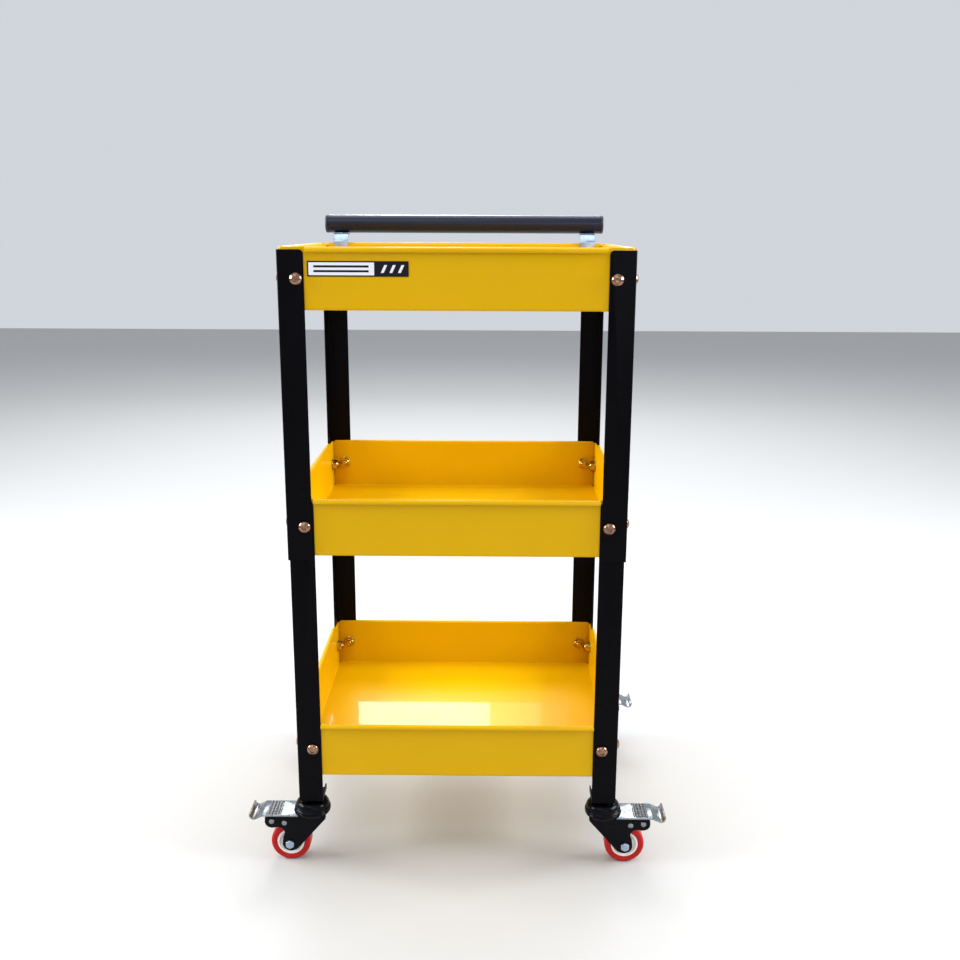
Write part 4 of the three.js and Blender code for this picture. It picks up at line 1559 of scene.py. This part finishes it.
@dataclass
class RimLabel:
    """A plain label on the top tray's front wall: dark film with a pale striped panel and three bars."""

    panel_share: float = 0.66
    border: float = 1.5
    film: float = 0.12
    bar: float = 3.2
    bar_inset: float = 4.2
    bar_lean: float = 4.0
    backing: float = 0.3
    stripe_from_middle: float = 2.6
    stripe_half: float = 1.2
    corner: float = 0.8

    def build(self) -> None:
        """Lays the dark film and the pale panel and bars on it."""
        low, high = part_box("label_plate")
        front = high.y - self.backing * MM
        back = Work.block("label_film_dark", (low.x, front, low.z), (high.x, high.y, high.z))
        for x in (low.x, high.x):
            for z in (low.z, high.z):
                back.pick(Kind.EDGE, x=x, z=z).round_edges(self.corner * MM, 3)
        back.finish(LABEL_DARK, "frame", ["label_plate"])
        edge = self.border * MM
        split = low.x + (high.x - low.x) * self.panel_share
        pale = Work.block("label_film_pale", (low.x + edge, front - self.film * MM, low.z + edge),
                          (split, front, high.z - edge))
        middle = (low.z + high.z) / 2
        stripe_half = self.stripe_half * MM
        for sign in (-1, 1):
            z = middle + sign * self.stripe_from_middle * MM
            stripe = Work.block("stripe", (low.x + 7 * MM, front - MM, z - stripe_half),
                                (split - 6 * MM, front + MM, z + stripe_half))
            pale.cut(stripe)
        for step in range(3):
            x = split + (9 + 9.5 * step) * MM
            half, inset = self.bar / 2 * MM, self.bar_inset * MM
            bar = Work.block("bar", (x - half, front - self.film * MM, low.z + inset),
                             (x + half, front, high.z - inset))
            bar.pick(Kind.FACE, z=high.z - inset).move(x=self.bar_lean * MM)
            pale.gather(bar)
        pale.finish(LABEL_PALE, "frame")


# ---- studio -------------------------------------------------------------------------------------------


@dataclass(frozen=True)
class Lamp:
    """A soft rectangular lamp: its place, what it points at, its width and height, watts and colour."""

    name: str
    place: Point
    aim: Point
    size: tuple[float, float]
    watts: float
    colour: str = "ffffff"


LAMPS = (
    Lamp("key_light", (-1.0, -1.9, 3.3), (0, 0, 0.5), (2.2, 2.2), 20, "fff8ee"),
    Lamp("fill_light", (1.2, -3.4, 1.7), (0, 0, 0.4), (2.4, 1.6), 16, "eef4ff"),
    Lamp("top_light", (0.0, 1.2, 3.8), (0, 0.1, 0.3), (3.0, 2.6), 66, "e4edff"),
    Lamp("back_light", (0.0, 3.4, 2.8), (0, 0, 0.3), (3.4, 0.9), 68),
    Lamp("side_light_left", (-2.0, -0.1, 1.3), (0, 0, 0.3), (1.4, 1.0), 66),
    Lamp("side_light_right", (2.0, -0.1, 1.3), (0, 0, 0.3), (1.4, 1.0), 66),
    Lamp("window_wide", (-0.285, 3.6, 2.2), (-0.285, 0, 2.2), (0.67, 0.8), 36),
    Lamp("window_side", (0.18, 3.6, 2.2), (0.18, 0, 2.2), (0.26, 0.8), 2.0),
)


@dataclass
class Studio:
    """A pale floor, soft light and the camera."""

    eye: Point = (0.0364, -1.3829, 0.7854)
    yaw: float = -0.00788
    pitch: float = 0.23436
    roll: float = 0.00384
    lens_mm: float = 39.545
    sensor_mm: float = 36.0
    floor_size: float = 14.0
    floor_colour: str = "b2b2b0"
    floor_roughness: float = 0.7
    sky_colour: str = "eff3fb"
    sky_strength: float = 0.74

    def build(self) -> None:
        """Sets the floor, the world, the lights and the camera."""
        self._floor()
        self._world()
        for lamp in LAMPS:
            self._lamp(lamp)
        self._camera()

    def _floor(self) -> None:
        """A pale floor under the wheels."""
        floor = Work.sheet("studio_floor", self.floor_size, self.floor_size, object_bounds()[0].z)
        material = bpy.data.materials.new("pale_floor")
        material.use_nodes = True
        shader = material.node_tree.nodes["Principled BSDF"]
        shader.inputs["Base Color"].default_value = linear(self.floor_colour)
        shader.inputs["Roughness"].default_value = self.floor_roughness
        floor.piece.data.materials.append(material)
        floor.piece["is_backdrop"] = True

    def _world(self) -> None:
        """Even pale light from all round."""
        world = bpy.data.worlds.new("studio_world")
        world.use_nodes = True
        back = world.node_tree.nodes["Background"]
        back.inputs["Color"].default_value = linear(self.sky_colour)
        back.inputs["Strength"].default_value = self.sky_strength
        bpy.context.scene.world = world
        bpy.context.scene.view_settings.view_transform = "Standard"

    def _lamp(self, lamp: Lamp) -> None:
        """Hangs a lamp.

        Args:
            lamp: which lamp.
        """
        Work.clear()
        bpy.ops.object.light_add(type="AREA", location=lamp.place)
        light = bpy.context.object
        light.name = lamp.name
        light.data.shape = "RECTANGLE"
        light.data.size, light.data.size_y = lamp.size
        light.data.energy = lamp.watts
        light.data.color = linear(lamp.colour)[:3]
        light.rotation_euler = (Vector(lamp.aim) - Vector(lamp.place)).to_track_quat("-Z", "Y").to_euler()

    def _camera(self) -> None:
        """The camera, level with the handle and looking down at the trays."""
        Work.clear()
        bpy.ops.object.camera_add(location=self.eye)
        camera = bpy.context.object
        camera.name = "camera"
        camera.data.lens = self.lens_mm
        camera.data.sensor_width = self.sensor_mm
        camera.matrix_world = (Matrix.Translation(self.eye) @ Matrix.Rotation(-self.yaw, 4, "Z")
                               @ Matrix.Rotation(math.pi / 2 - self.pitch, 4, "X")
                               @ Matrix.Rotation(self.roll, 4, "Z"))
        bpy.context.scene.camera = camera


def main() -> None:
    logging.basicConfig(level=logging.INFO, format="%(name)s: %(message)s")
    assemblies = [AngleLegs(), FoldedTrays(), TrayBolts(), PushHandle(), BrakedCaster(), RimLabel(), Studio()]
    for assembly in assemblies:
        LOG.info("building %s", type(assembly).__name__)
        assembly.build()
    Work.clear()


if __name__ == "__main__":
    main()
